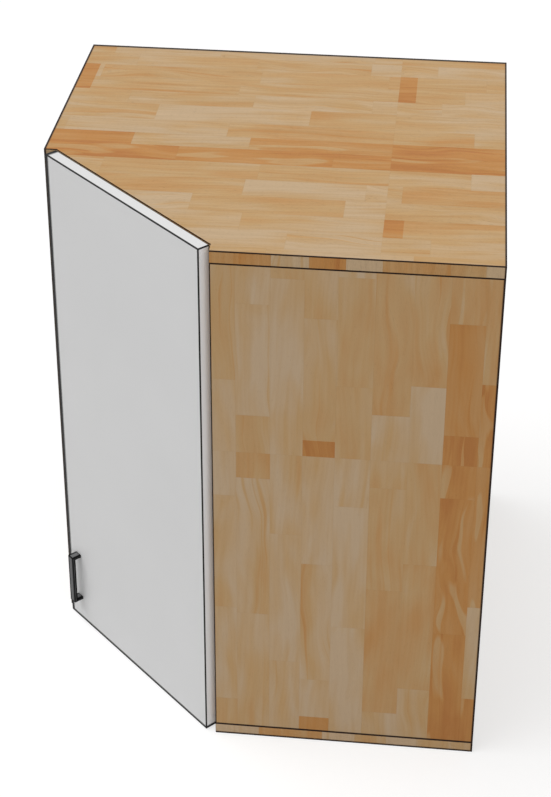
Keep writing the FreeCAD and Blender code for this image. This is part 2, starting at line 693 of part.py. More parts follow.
# Drawn on the front face: X along the door, Y up, and the board grows inwards.
door = slab("door_board", rectangle(size["door_end_inset"], door_low, door_left, door_high),
            size["door_thickness"], size["edge_ease"])
hinge_levels = (size["hinge_height"], size["overall_height"] - size["hinge_height"])
cup_places = [(size["cup_inset"], level) for level in hinge_levels]
sink(door, "door_cup_holes", size["door_thickness"], size["cup_depth"] + play, False,
     circles=[(x, y, size["cup_radius"] + play) for x, y in cup_places])
ear_places = [(size["cup_inset"] + size["ear_offset"], level + size["ear_spacing"] * share)
              for level in hinge_levels for share in (-0.5, 0.5)]
sink(door, "door_cup_screw_holes", size["door_thickness"],
     size["screw_grip"] + size["hole_end_play"], False,
     circles=[(x, y, size["wood_screw_radius"] + play) for x, y in ear_places])
handle_along = door_left - size["handle_inset"]
handle_holes = [(handle_along, size["handle_height"] + size["handle_centres"] * share)
                for share in (-0.5, 0.5)]
sink(door, "door_handle_holes", size["door_thickness"], size["door_thickness"], False,
     circles=[(x, y, size["handle_screw_radius"] + play) for x, y in handle_holes])
face.put(door, ZERO, door_front, ZERO, tilt=AGAINST_Y)
node("door_panel", door)

# The handle's side view: X is the height from its middle, Y the distance from the door.
half_handle = (size["handle_centres"] + size["handle_leg"]) / 2
inside_leg = half_handle - size["handle_leg"]
reach = size["handle_reach"]
handle_view = [(-half_handle, ZERO), (-inside_leg, ZERO), (-inside_leg, reach - size["handle_bar"]),
               (inside_leg, reach - size["handle_bar"]), (inside_leg, ZERO), (half_handle, ZERO),
               (half_handle, reach), (-half_handle, reach)]
handle_blank = slab("handle_blank", handle_view, size["handle_width"], size["handle_ease"])
face.put(handle_blank, handle_along + size["handle_width"] / 2, door_front, size["handle_height"],
         tilt=AGAINST_X)
screw_tip = size["handle_screw_grip"] + size["hole_end_play"]
handle_cuts = [rod("handle_tapping_%d" % number, face, (x, door_front, level), ALONG_Y,
                   size["handle_screw_radius"] + play, screw_tip)
               for number, (x, level) in enumerate(handle_holes)]
node("handle", cut("handle_pull", handle_blank, handle_cuts))

handle_screw = fuse("handle_screw", [
    rod("handle_screw_shank", room, (ZERO, ZERO, ZERO), UPRIGHT, size["handle_screw_radius"],
        size["door_thickness"] + size["handle_screw_grip"]),
    rod("handle_screw_head", room, (ZERO, ZERO, -size["screw_head"]), UPRIGHT,
        size["screw_head_radius"], size["screw_head"]),
])
node("handle_screws", group("handle_screw_set", copies(
    "handle_screw_copy", handle_screw,
    [(face, (x, door_back, level), ALONG_Y) for x, level in handle_holes])))

bumper_along = door_left - size["bumper_inset"]
bumper_length = size["door_gap"] - size["bumper_slack"]
node("door_bumpers", group("bumper_set", [
    rod("bumper_%d" % number, face, (bumper_along, size["bumper_slack"], level), ALONG_Y,
        size["bumper_radius"], bumper_length)
    for number, level in enumerate((board / 2, size["overall_height"] - board / 2))]))

# ---- hinges -----------------------------------------------------------------------------------

pin = size["pivot_radius"]
eye = pin + size["eye_wall"]
slim_eye = eye - size["flange_thickness"] / 2
arm_in = (size["arm_pivot_in_along"], size["arm_pivot_in_out"])
arm_out = (size["arm_pivot_out_along"], size["arm_pivot_out_out"])
cup_in = (size["cup_pivot_in_along"], size["cup_pivot_in_out"])
cup_out = (size["cup_pivot_out_along"], size["cup_pivot_out_out"])


def both_cheeks(name, shape_of, inner, outer):
    """The same plate on each side of the hinge's middle."""
    thickness = outer - inner
    return [shape_of(name + "_low", -outer, thickness), shape_of(name + "_high", inner, thickness)]


def point_beside(start, end, along, aside):
    """A point at a distance along a run and another to its left."""
    dx = end[0] - start[0]
    dy = end[1] - start[1]
    span = length_of(dx, dy)
    return (start[0] + dx / span * along - dy / span * aside,
            start[1] + dy / span * along + dx / span * aside)


def make_hinge(name, level):
    at_door = Frame(corner_x, corner_y, level, DOOR_HEADING)
    at_side = Frame(corner_x, corner_y, level, 0)

    # cup: drum, flange with ears, and two bosses that hold the pins
    cup_x = size["cup_inset"]
    flange_low = door_back - size["flange_thickness"]
    drum_part = rod(name + "_cup_drum", at_door, (cup_x, door_back, ZERO), ALONG_Y,
                    size["cup_radius"], size["cup_depth"])
    flange_disc = rod(name + "_flange_disc", at_door, (cup_x, flange_low, ZERO), ALONG_Y,
                      size["cup_radius"] + size["flange_lap"], size["flange_thickness"])
    ear_x = cup_x + size["ear_offset"]
    ear_ends = [rod("%s_ear_%d" % (name, number), at_door,
                    (ear_x, flange_low, size["ear_spacing"] * share), ALONG_Y,
                    size["ear_radius"], size["flange_thickness"])
                for number, share in enumerate((-0.5, 0.5))]
    ear_strip = box(name + "_ear_strip", at_door,
                    (ear_x - size["ear_radius"], flange_low, -size["ear_spacing"] / 2),
                    (size["ear_radius"] * 2, size["flange_thickness"], size["ear_spacing"]))
    shell = fuse(name + "_cup_blank", [drum_part, flange_disc, ear_strip] + ear_ends)
    well_radius = size["cup_radius"] - size["cup_wall"]
    well = rod(name + "_cup_well", at_door, (cup_x, flange_low, ZERO), ALONG_Y, well_radius,
               size["cup_depth"] + size["flange_thickness"] - size["cup_wall"])
    boss_reach = cup_in[0] + eye - (cup_out[0] - eye)
    boss_depth = cup_in[1] + eye - door_back
    bosses = [box("%s_boss_block_%d" % (name, number), at_door,
                  (cup_out[0] - eye, door_back, low), (boss_reach, boss_depth, well_radius))
              for number, low in enumerate((-size["boss_in"] - well_radius, size["boss_in"]))]
    well_fill = rod(name + "_well_fill", at_door, (cup_x, door_back, ZERO), ALONG_Y,
                    size["cup_radius"] - size["cup_wall"] / 2,
                    size["cup_depth"] - size["cup_wall"] / 2)
    boss_pair = doc.addObject("Part::Common", name + "_boss_pair")
    boss_pair.Base = fuse(name + "_boss_blocks", bosses)
    boss_pair.Tool = well_fill
    hollow = cut(name + "_cup_shell", shell, [well])
    solid_cup = fuse(name + "_cup_solid", [hollow, boss_pair])
    pin_span = size["pin_end"] * 2
    mouth_half = size["boss_in"]
    cup_cuts = [
        box(name + "_rim_notch", at_door,
            (cup_x - size["cup_radius"] - size["flange_lap"], flange_low, -mouth_half),
            (size["cup_radius"] / 2 + size["flange_lap"], size["flange_thickness"],
             mouth_half * 2)),
        rod(name + "_pin_hole_in", at_door, (cup_in[0], cup_in[1], -size["pin_end"]), UPRIGHT,
            pin + play, pin_span),
        rod(name + "_pin_hole_out", at_door, (cup_out[0], cup_out[1], -size["pin_end"]), UPRIGHT,
            pin + play, pin_span),
    ]
    for number, share in enumerate((-0.5, 0.5)):
        cup_cuts.append(rod("%s_ear_hole_%d" % (name, number), at_door,
                            (ear_x, flange_low, size["ear_spacing"] * share), ALONG_Y,
                            size["wood_screw_radius"] + play, size["flange_thickness"]))
    node(name + "_hinge_cup", cut(name + "_cup", solid_cup, cup_cuts))

    # the outer link's two pins are short, so that the inner link can pass between them
    stub = size["pin_end"] - size["outer_link_in"]
    node(name + "_hinge_cup_pins", group(name + "_cup_pins", [
        rod(name + "_pin_in", at_door, (cup_in[0], cup_in[1], -size["pin_end"]), UPRIGHT, pin,
            pin_span),
        rod(name + "_pin_out_low", at_door, (cup_out[0], cup_out[1], -size["pin_end"]), UPRIGHT,
            pin, stub),
        rod(name + "_pin_out_high", at_door, (cup_out[0], cup_out[1], size["outer_link_in"]),
            UPRIGHT, pin, stub),
    ]))
    node(name + "_hinge_cup_screws", group(name + "_cup_screws", copies(
        name + "_cup_screw", cup_screw,
        [(at_door, (ear_x, flange_low, size["ear_spacing"] * share), ALONG_Y)
         for share in (-0.5, 0.5)])))

    # outer link: a pair of bent plates on one long pin
    bend = point_beside(cup_out, arm_out, size["outer_bend_along"], size["outer_bend_aside"])

    def outer_plate(plate, low, thickness):
        blank = fuse(plate + "_blank", [
            bar(plate + "_short", at_door, cup_out, bend, slim_eye, low, thickness),
            bar(plate + "_long", at_door, bend, arm_out, eye, low, thickness)])
        return cut(plate, blank, [
            rod(plate + "_cup_eye", at_door, (*cup_out, low), UPRIGHT, pin + play, thickness),
            rod(plate + "_arm_eye", at_door, (*arm_out, low), UPRIGHT, pin + play, thickness)])

    plates = both_cheeks(name + "_outer_plate", outer_plate, size["outer_link_in"],
                         size["outer_link_out"])
    node(name + "_hinge_outer_link", group(name + "_outer_link", plates))
    node(name + "_hinge_outer_pin",
         rod(name + "_outer_pin", at_door, (*arm_out, -size["outer_link_out"]), UPRIGHT, pin,
             size["outer_link_out"] * 2))

    # inner link: one bent plate, with a wide eye on the cup's pin
    half = size["inner_link_half"]
    inner_bend = point_beside(cup_in, arm_in, size["inner_bend_along"], size["inner_bend_aside"])
    wide_eye = pin + size["open_pivot_play"]
    link_blank = fuse(name + "_inner_blank", [
        rod(name + "_inner_eye", at_door, (*cup_in, -half), UPRIGHT, wide_eye + size["eye_wall"],
            half * 2),
        bar(name + "_inner_short", at_door, cup_in, inner_bend, slim_eye, -half, half * 2),
        bar(name + "_inner_long", at_door, inner_bend, arm_in, slim_eye, -half, half * 2)])
    node(name + "_hinge_inner_link", cut(name + "_inner_link", link_blank, [
        rod(name + "_inner_wide_hole", at_door, (*cup_in, -half), UPRIGHT, wide_eye, half * 2),
        rod(name + "_inner_arm_hole", at_door, (*arm_in, -half), UPRIGHT, pin + play, half * 2)]))

    # arm: two cheeks that end in a channel over the mounting plate
    cheek_in, cheek_out = size["arm_cheek_in"], size["arm_cheek_out"]
    channel_middle = (size["arm_low"] + size["arm_high"]) / 2
    knee = ((channel_middle - size["arm_start"]) * HALF_ROOT,
            (-channel_middle - size["arm_start"]) * HALF_ROOT)
    neck = point_beside(arm_out, arm_in, size["arm_neck"], ZERO)

    def arm_cheek(cheek, low, thickness):
        return fuse(cheek, [
            bar(cheek + "_nose", at_door, arm_in, arm_out, slim_eye, low, thickness),
            bar(cheek + "_limb", at_door, arm_out, knee, eye, low, thickness),
            bar(cheek + "_neck", at_door, neck, knee, slim_eye, low, thickness)])

    channel = box(name + "_channel", at_side, (size["arm_start"], size["arm_low"], -cheek_out),
                  (size["arm_end"] - size["arm_start"], size["arm_high"] - size["arm_low"],
                   cheek_out * 2))
    hollow_way = box(name + "_channel_way", at_side,
                     (size["arm_start"], size["arm_low"], -cheek_in),
                     (size["arm_end"] - size["arm_start"],
                      size["arm_high"] - size["arm_low"] - size["arm_web"], cheek_in * 2))
    arm_blank = fuse(name + "_arm_blank",
                     both_cheeks(name + "_arm_cheek", arm_cheek, cheek_in, cheek_out)
                     + [cut(name + "_channel_shell", channel, [hollow_way])])
    hole_place = size["hole_inset"]
    arm_cuts = [
        rod(name + "_arm_hole_in", at_door, (*arm_in, -cheek_out), UPRIGHT, pin + play,
            cheek_out * 2),
        rod(name + "_arm_hole_out", at_door, (*arm_out, -cheek_out), UPRIGHT, pin + play,
            cheek_out * 2),
        rod(name + "_arm_screw_hole", at_side,
            (hole_place, size["arm_high"] - size["arm_web"], ZERO), ALONG_Y,
            size["wood_screw_radius"] + play, size["arm_web"]),
    ]
    node(name + "_hinge_arm", cut(name + "_arm", arm_blank, arm_cuts))
    node(name + "_hinge_arm_pin",
         rod(name + "_arm_pin", at_door, (*arm_in, -cheek_out), UPRIGHT, pin, cheek_out * 2))

    # mounting plate: a ridge under the arm and two wings for its screws
    half_spacing = size["plate_screw_spacing"] / 2
    wing_radius = size["plate_width"] / 2
    ridge_half = cheek_in - play
    wings = [rod("%s_wing_%d" % (name, number), at_side, (hole_place, ZERO, half_spacing * sign),
                 ALONG_Y, wing_radius, size["plate_thickness"])
             for number, sign in enumerate((-1, 1))]
    wing_strip = box(name + "_wing_strip", at_side,
                     (hole_place - wing_radius, ZERO, -half_spacing),
                     (size["plate_width"], size["plate_thickness"], half_spacing * 2))
    foot = box(name + "_plate_foot", at_side, (size["plate_start"], ZERO, -size["plate_half"]),
               (size["plate_end"] - size["plate_start"], size["arm_low"], size["plate_half"] * 2))
    ridge = box(name + "_plate_ridge", at_side, (size["plate_start"], size["arm_low"], -ridge_half),
                (size["plate_end"] - size["plate_start"],
                 size["arm_high"] - size["arm_low"] - size["arm_web"] - play, ridge_half * 2))
    plate_blank = fuse(name + "_plate_blank", wings + [wing_strip, foot, ridge])
    plate_cuts = [rod("%s_wing_hole_%d" % (name, number), at_side,
                      (hole_place, ZERO, half_spacing * sign), ALONG_Y,
                      size["wood_screw_radius"] + play, size["plate_thickness"])
                  for number, sign in enumerate((-1, 1))]
    tap_length = size["screw_grip"] + size["hole_end_play"]
    tap_start = size["arm_high"] - size["arm_web"] - tap_length
    plate_cuts.append(rod(name + "_plate_tapping", at_side, (hole_place, tap_start, ZERO), ALONG_Y,
                          size["wood_screw_radius"] + play, tap_length))
    node(name + "_hinge_plate", cut(name + "_plate", plate_blank, plate_cuts))
    node(name + "_hinge_plate_screws", group(name + "_plate_screws", copies(
        name + "_plate_screw", plate_screw,
        [(at_side, (hole_place, size["plate_thickness"], half_spacing * sign), AGAINST_Y)
         for sign in (-1, 1)])))
    node(name + "_hinge_fixing_screw", group(name + "_fixing_screw", copies(
        name + "_fixing", arm_screw,
        [(at_side, (hole_place, size["arm_high"], ZERO), AGAINST_Y)])))
    return [rod("%s_side_screw_hole_%d" % (name, number), at_side,
                (hole_place, ZERO, half_spacing * sign), AGAINST_Y,
                size["wood_screw_radius"] + play, size["screw_grip"] + size["hole_end_play"])
            for number, sign in enumerate((-1, 1))]


def screw(name, plate):
    """A pan-head screw that passes a plate; its head sits on the level Z = 0."""
    return fuse(name, [
        rod(name + "_shank", room, (ZERO, ZERO, ZERO), UPRIGHT, size["wood_screw_radius"],
            size["screw_grip"] + plate),
        rod(name + "_head", room, (ZERO, ZERO, -size["screw_head"]), UPRIGHT,
            size["screw_head_radius"], size["screw_head"])])


cup_screw = screw("cup_screw", ZERO)
plate_screw = screw("plate_screw", size["plate_thickness"])
arm_screw = screw("arm_screw", ZERO)
plate_holes = []
for hinge_name, hinge_level in zip(("lower", "upper"), hinge_levels):
    plate_holes += make_hinge(hinge_name, hinge_level)
node("right_side_panel", cut("right_side", drilled_side, plate_holes))

# ---- check and export -------------------------------------------------------------------------

doc.recompute()
for thing in doc.Objects:
    if "Invalid" in thing.State or "Error" in thing.State:
        raise RuntimeError("%s (%s) failed: %s" % (thing.Name, thing.Label, thing.State))
for name, thing in nodes.items():
    if thing.Shape.isNull() or not thing.Shape.isValid():
        raise RuntimeError(name + " has no valid shape")
os.makedirs("parts", exist_ok=True)
for name, thing in nodes.items():
    thing.Shape.exportStep("parts/%s.step" % name)
print("%d nodes, %d solids" % (len(nodes), sum(len(n.Shape.Solids) for n in nodes.values())))
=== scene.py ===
import bpy
import math
from mathutils import Matrix, Vector


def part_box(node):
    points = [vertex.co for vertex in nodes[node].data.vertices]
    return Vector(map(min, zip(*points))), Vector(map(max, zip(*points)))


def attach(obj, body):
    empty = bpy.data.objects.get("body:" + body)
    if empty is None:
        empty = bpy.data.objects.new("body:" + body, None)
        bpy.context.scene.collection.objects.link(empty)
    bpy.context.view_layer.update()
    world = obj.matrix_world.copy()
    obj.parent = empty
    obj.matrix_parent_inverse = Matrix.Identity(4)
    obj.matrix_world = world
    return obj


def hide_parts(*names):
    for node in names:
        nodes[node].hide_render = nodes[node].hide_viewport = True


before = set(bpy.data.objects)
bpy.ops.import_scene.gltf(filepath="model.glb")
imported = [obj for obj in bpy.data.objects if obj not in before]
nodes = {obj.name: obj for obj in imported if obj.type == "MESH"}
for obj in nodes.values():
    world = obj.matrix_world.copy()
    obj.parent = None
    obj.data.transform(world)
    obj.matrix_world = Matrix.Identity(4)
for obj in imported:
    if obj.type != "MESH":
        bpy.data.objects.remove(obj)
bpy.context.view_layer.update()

diagonal = math.sqrt(0.5)          # a step along the diagonal, as seen along either wall
noiseSpan = (0.3, 0.7)             # most of a noise lies between these
white = (1, 1, 1, 1)
print("stage: frame loaded,", len(nodes), "nodes")


# small helpers for node trees

def addNode(tree, kind, inputs=None, **settings):
    made = tree.nodes.new(kind)
    for name, value in settings.items():
        setattr(made, name, value)
    for key, value in (inputs or {}).items():
        if isinstance(value, bpy.types.NodeSocket):
            tree.links.new(value, made.inputs[key])
        else:
            made.inputs[key].default_value = value
    return made


def calc(tree, operation, *values, clamp=False):
    made = addNode(tree, "ShaderNodeMath", dict(enumerate(values)), operation=operation)
    made.use_clamp = clamp
    return made.outputs[0]


def vectorCalc(tree, operation, *values):
    made = addNode(tree, "ShaderNodeVectorMath", dict(enumerate(values)), operation=operation)
    return made.outputs["Value" if operation == "DOT_PRODUCT" else "Vector"]


def objectPlace(tree):
    return addNode(tree, "ShaderNodeTexCoord").outputs["Object"]


def noiseAt(tree, place, scale, detail, roughness=0.5, distortion=0.0):
    settings = {"Vector": place, "Scale": scale, "Detail": detail, "Roughness": roughness,
                "Distortion": distortion}
    return addNode(tree, "ShaderNodeTexNoise", settings).outputs[0]


def ramp(tree, fac, stops):
    made = addNode(tree, "ShaderNodeValToRGB", {"Fac": fac})
    colourBand = made.color_ramp
    while len(colourBand.elements) < len(stops):
        colourBand.elements.new(0.5)
    for element, (place, colour) in zip(colourBand.elements, stops):
        element.position = place
        element.color = colour
    return made.outputs["Color"]


def mixColour(tree, share, first, second, blend="MIX"):
    # the node's sockets 6 and 7 take colours
    made = addNode(tree, "ShaderNodeMix", {0: share, 6: first, 7: second},
                   data_type="RGBA", blend_type=blend)
    return made.outputs[2]


def greyOf(tree, tone):
    return addNode(tree, "ShaderNodeCombineColor", {0: tone, 1: tone, 2: tone}).outputs[0]


def shaded(tree, colour, tone):
    return mixColour(tree, 1.0, colour, greyOf(tree, tone), "MULTIPLY")


def spread(tree, value, low, high, newLow=0.0, newHigh=1.0, smooth=False):
    ends = {"Value": value, "From Min": low, "From Max": high, "To Min": newLow, "To Max": newHigh}
    made = addNode(tree, "ShaderNodeMapRange", ends)
    made.interpolation_type = "SMOOTHSTEP" if smooth else "LINEAR"
    return made.outputs[0]


def fromScreen(red, green, blue):
    # a colour as a paint chart shows it, turned into light
    def linear(value):
        value = value / 255
        return value / 12.92 if value <= 0.04045 else ((value + 0.055) / 1.055) ** 2.4
    return (linear(red), linear(green), linear(blue), 1.0)


def newMaterial(name):
    material = bpy.data.materials.new(name)
    material.use_nodes = True
    tree = material.node_tree
    tree.nodes.clear()
    output = addNode(tree, "ShaderNodeOutputMaterial")
    shader = addNode(tree, "ShaderNodeBsdfPrincipled")
    tree.links.new(shader.outputs[0], output.inputs["Surface"])
    return material, tree, shader


def addBump(tree, shader, height, strength, distance):
    bump = addNode(tree, "ShaderNodeBump", {"Height": height, "Strength": strength, "Distance": distance})
    tree.links.new(bump.outputs[0], shader.inputs["Normal"])


def dress(piece, material):
    piece.data.materials.clear()
    piece.data.materials.append(material)


# camera

view = {
    "place": (-0.07193, -2.56605, 1.84927),
    "heading": (-0.09129, 0.86576, -0.49206),
    "roll": 0.147,                 # degrees
    "lens": 86.89,                 # millimetres
    "sensor": 36.0,
    "shift": (0.0092, -0.1607),
    "reach": 100.0,                # metres
}


def setCamera():
    data = bpy.data.cameras.new("camera")
    data.sensor_width = view["sensor"]
    data.lens = view["lens"]
    data.shift_x, data.shift_y = view["shift"]
    data.clip_end = view["reach"]
    camera = bpy.data.objects.new("camera", data)
    bpy.context.scene.collection.objects.link(camera)
    turn = Vector(view["heading"]).to_track_quat("-Z", "Y").to_matrix().to_4x4()
    roll = Matrix.Rotation(math.radians(view["roll"]), 4, "Z")
    camera.matrix_world = Matrix.Translation(view["place"]) @ turn @ roll
    bpy.context.scene.camera = camera


setCamera()

# floor, lamps and world

studio = {
    "floorSize": 30.0,
    "floorDrop": 0.0002,           # keeps the floor off the cabinet's underside
    "floorTone": 0.55,             # what the floor throws back at the cabinet
    "floorSeenTone": 0.40,         # what is seen of the shadows on it
    "floorGlow": 0.64,
    "skyLevel": 0.35,
    "suns": {                      # level, where from, spread in degrees
        "keySun": (2.0, (-0.41, -0.02, 0.91), 50.0),
        "fillSun": (0.94, (0.33, -0.91, 0.25), 45.0),
    },
}


def seenDirectly(tree):
    # what the camera, a mirror or a glass pane sees as background
    path = addNode(tree, "ShaderNodeLightPath")
    seen = calc(tree, "ADD", path.outputs["Is Camera Ray"], path.outputs["Is Glossy Ray"])
    return calc(tree, "ADD", seen, path.outputs["Is Transmission Ray"], clamp=True)


def makeFloor():
    reach = studio["floorSize"] / 2
    signs = ((-1, -1), (1, -1), (1, 1), (-1, 1))
    corners = [(x * reach, y * reach, -studio["floorDrop"]) for x, y in signs]
    mesh = bpy.data.meshes.new("floor")
    mesh.from_pydata(corners, [], [(0, 1, 2, 3)])
    floor = bpy.data.objects.new("floor", mesh)
    bpy.context.scene.collection.objects.link(floor)
    material, tree, shader = newMaterial("floorPaper")
    seen = seenDirectly(tree)
    tone = spread(tree, seen, 0.0, 1.0, studio["floorTone"], studio["floorSeenTone"])
    tree.links.new(greyOf(tree, tone), shader.inputs["Base Color"])
    shader.inputs["Roughness"].default_value = 1.0
    shader.inputs["Specular IOR Level"].default_value = 0.0
    shader.inputs["Emission Color"].default_value = white
    glow = calc(tree, "MULTIPLY", seen, studio["floorGlow"])
    tree.links.new(glow, shader.inputs["Emission Strength"])
    dress(floor, material)


def makeWorld():
    world = bpy.data.worlds.new("studio")
    bpy.context.scene.world = world
    world.use_nodes = True
    tree = world.node_tree
    background = tree.nodes["Background"]
    background.inputs["Color"].default_value = white
    level = spread(tree, seenDirectly(tree), 0.0, 1.0, studio["skyLevel"], 1.0)
    tree.links.new(level, background.inputs["Strength"])


def makeSun(name, level, fromWhere, spreadAngle):
    data = bpy.data.lights.new(name, "SUN")
    data.energy = level
    data.angle = math.radians(spreadAngle)
    sun = bpy.data.objects.new(name, data)
    bpy.context.scene.collection.objects.link(sun)
    sun.rotation_euler = (-Vector(fromWhere)).to_track_quat("-Z", "Y").to_euler()


makeFloor()
makeWorld()
for sunName, sunSettings in studio["suns"].items():
    makeSun(sunName, *sunSettings)
bpy.context.scene.view_settings.view_transform = "Standard"
print("stage: camera, floor and lamps")

# laminated wood

wood = {
    "pale": fromScreen(192, 165, 131),
    "tan": fromScreen(189, 153, 106),
    "honey": fromScreen(187, 141, 89),
    "amber": fromScreen(185, 131, 73),
    "brown": fromScreen(177, 118, 64),
    "warmthStops": (0.0, 0.30, 0.56, 0.82, 1.0),        # where the five colours lie
    "staveWidth": 0.0425,          # on average
    "widthSpread": 0.35,
    "staveLength": 0.19,           # on average
    "lengthSpread": 0.95,
    "shortestStave": 0.014,
    "panelLength": 0.452,          # every row is jointed again after this much
    "fillerLength": 0.024,
    "fillerRarity": 0.88,          # share of the rows without a filler
    "fillerWarmth": 0.82,
    "plainWarmth": (0.08, 0.46),   # of most staves, from 0, pale, to 1, brown
    "plainCurve": 1.7,             # above 1 makes warm staves rarer
    "heartHalfWidth": 0.034,       # of the band of rows sawn near the heart
    "heartWarmth": (0.16, 0.84),
    "heartDice": (0.12, 0.52),     # the draws that give the palest and the warmest
    "blockWarmth": (-0.10, 0.80),  # upright round the seven-sided boards
    "blockDice": (0.1, 0.9),
    "sapWarmth": 0.10,             # of the pale wood next to the heart
    "sapEdge": (0.58, 0.64),
    "sapShare": 0.55,
    "streakEdge": (0.58, 0.74),
    "streakWarmth": 0.35,
    "warmthShares": {"figure": 0.65, "cloud": 0.75, "rings": 0.03},
    "grainWarmth": 0.22,
    "lean": 0.12,                  # how far the grain is out of line with its stave
    "curl": (0.012, 0.070),        # few staves are cut near a branch
    "curlDice": (0.55, 1.0),
    "ringsPerMetre": 150.0,
    "ringWander": 9.0,
    "ringCurve": 1.6,
    "poreEdge": (0.60, 0.74),
    "pores": 0.16,
    "glueLine": 0.0006,
    "glueTone": 0.95,
    "grainTone": (1.02, 0.975),
    "ringTone": (1.005, 0.991),
    "fibreTone": (1.02, 0.98),
    "edgeSoakAndShade": 0.90,              # narrow faces darker: painted shade, and partly sawn edges taking the finish darker
    "roughness": (0.46, 0.56),
    "gloss": 0.12,
    "fibreHeight": 0.35,
    "poreHeight": 3.0,
    "bump": (0.25, 0.0003),        # strength and depth
    "arrisColour": fromScreen(26, 8, 4),
}
woodNoise = {                      # waves per metre along and across, detail, roughness, distortion
    "swirl": (9.0, 20.0, 1.0, 0.5, 0.0),
    "grain": (5.0, 130.0, 3.0, 0.55, 0.3),
    "figure": (7.0, 34.0, 2.0, 0.5, 0.8),
    "streak": (3.2, 95.0, 1.0, 0.5, 0.6),
    "warp": (2.2, 11.0, 1.0, 0.5, 0.0),
    "cloud": (6.5, 20.0, 2.0, 0.6, 0.0),
    "sapwood": (5.0, 26.0, 1.0, 0.5, 1.4),
    "fibres": (26.0, 760.0, 2.0, 0.5, 0.0),
    "pores": (170.0, 2300.0, 1.0, 0.5, 0.0),
}
drawStep = {                       # any odd amounts that keep one draw apart from the next
    "seed": 13.0,
    "row": 97.0,
    "panel": 7.3,
    "stave": 41.0,
    "swirl": 5.1,
    "other": 7.7,
    "cloud": 11.9,
    "sapwood": 3.3,
}
noHeart = -1.0                     # centre of the heart rows where a board has none


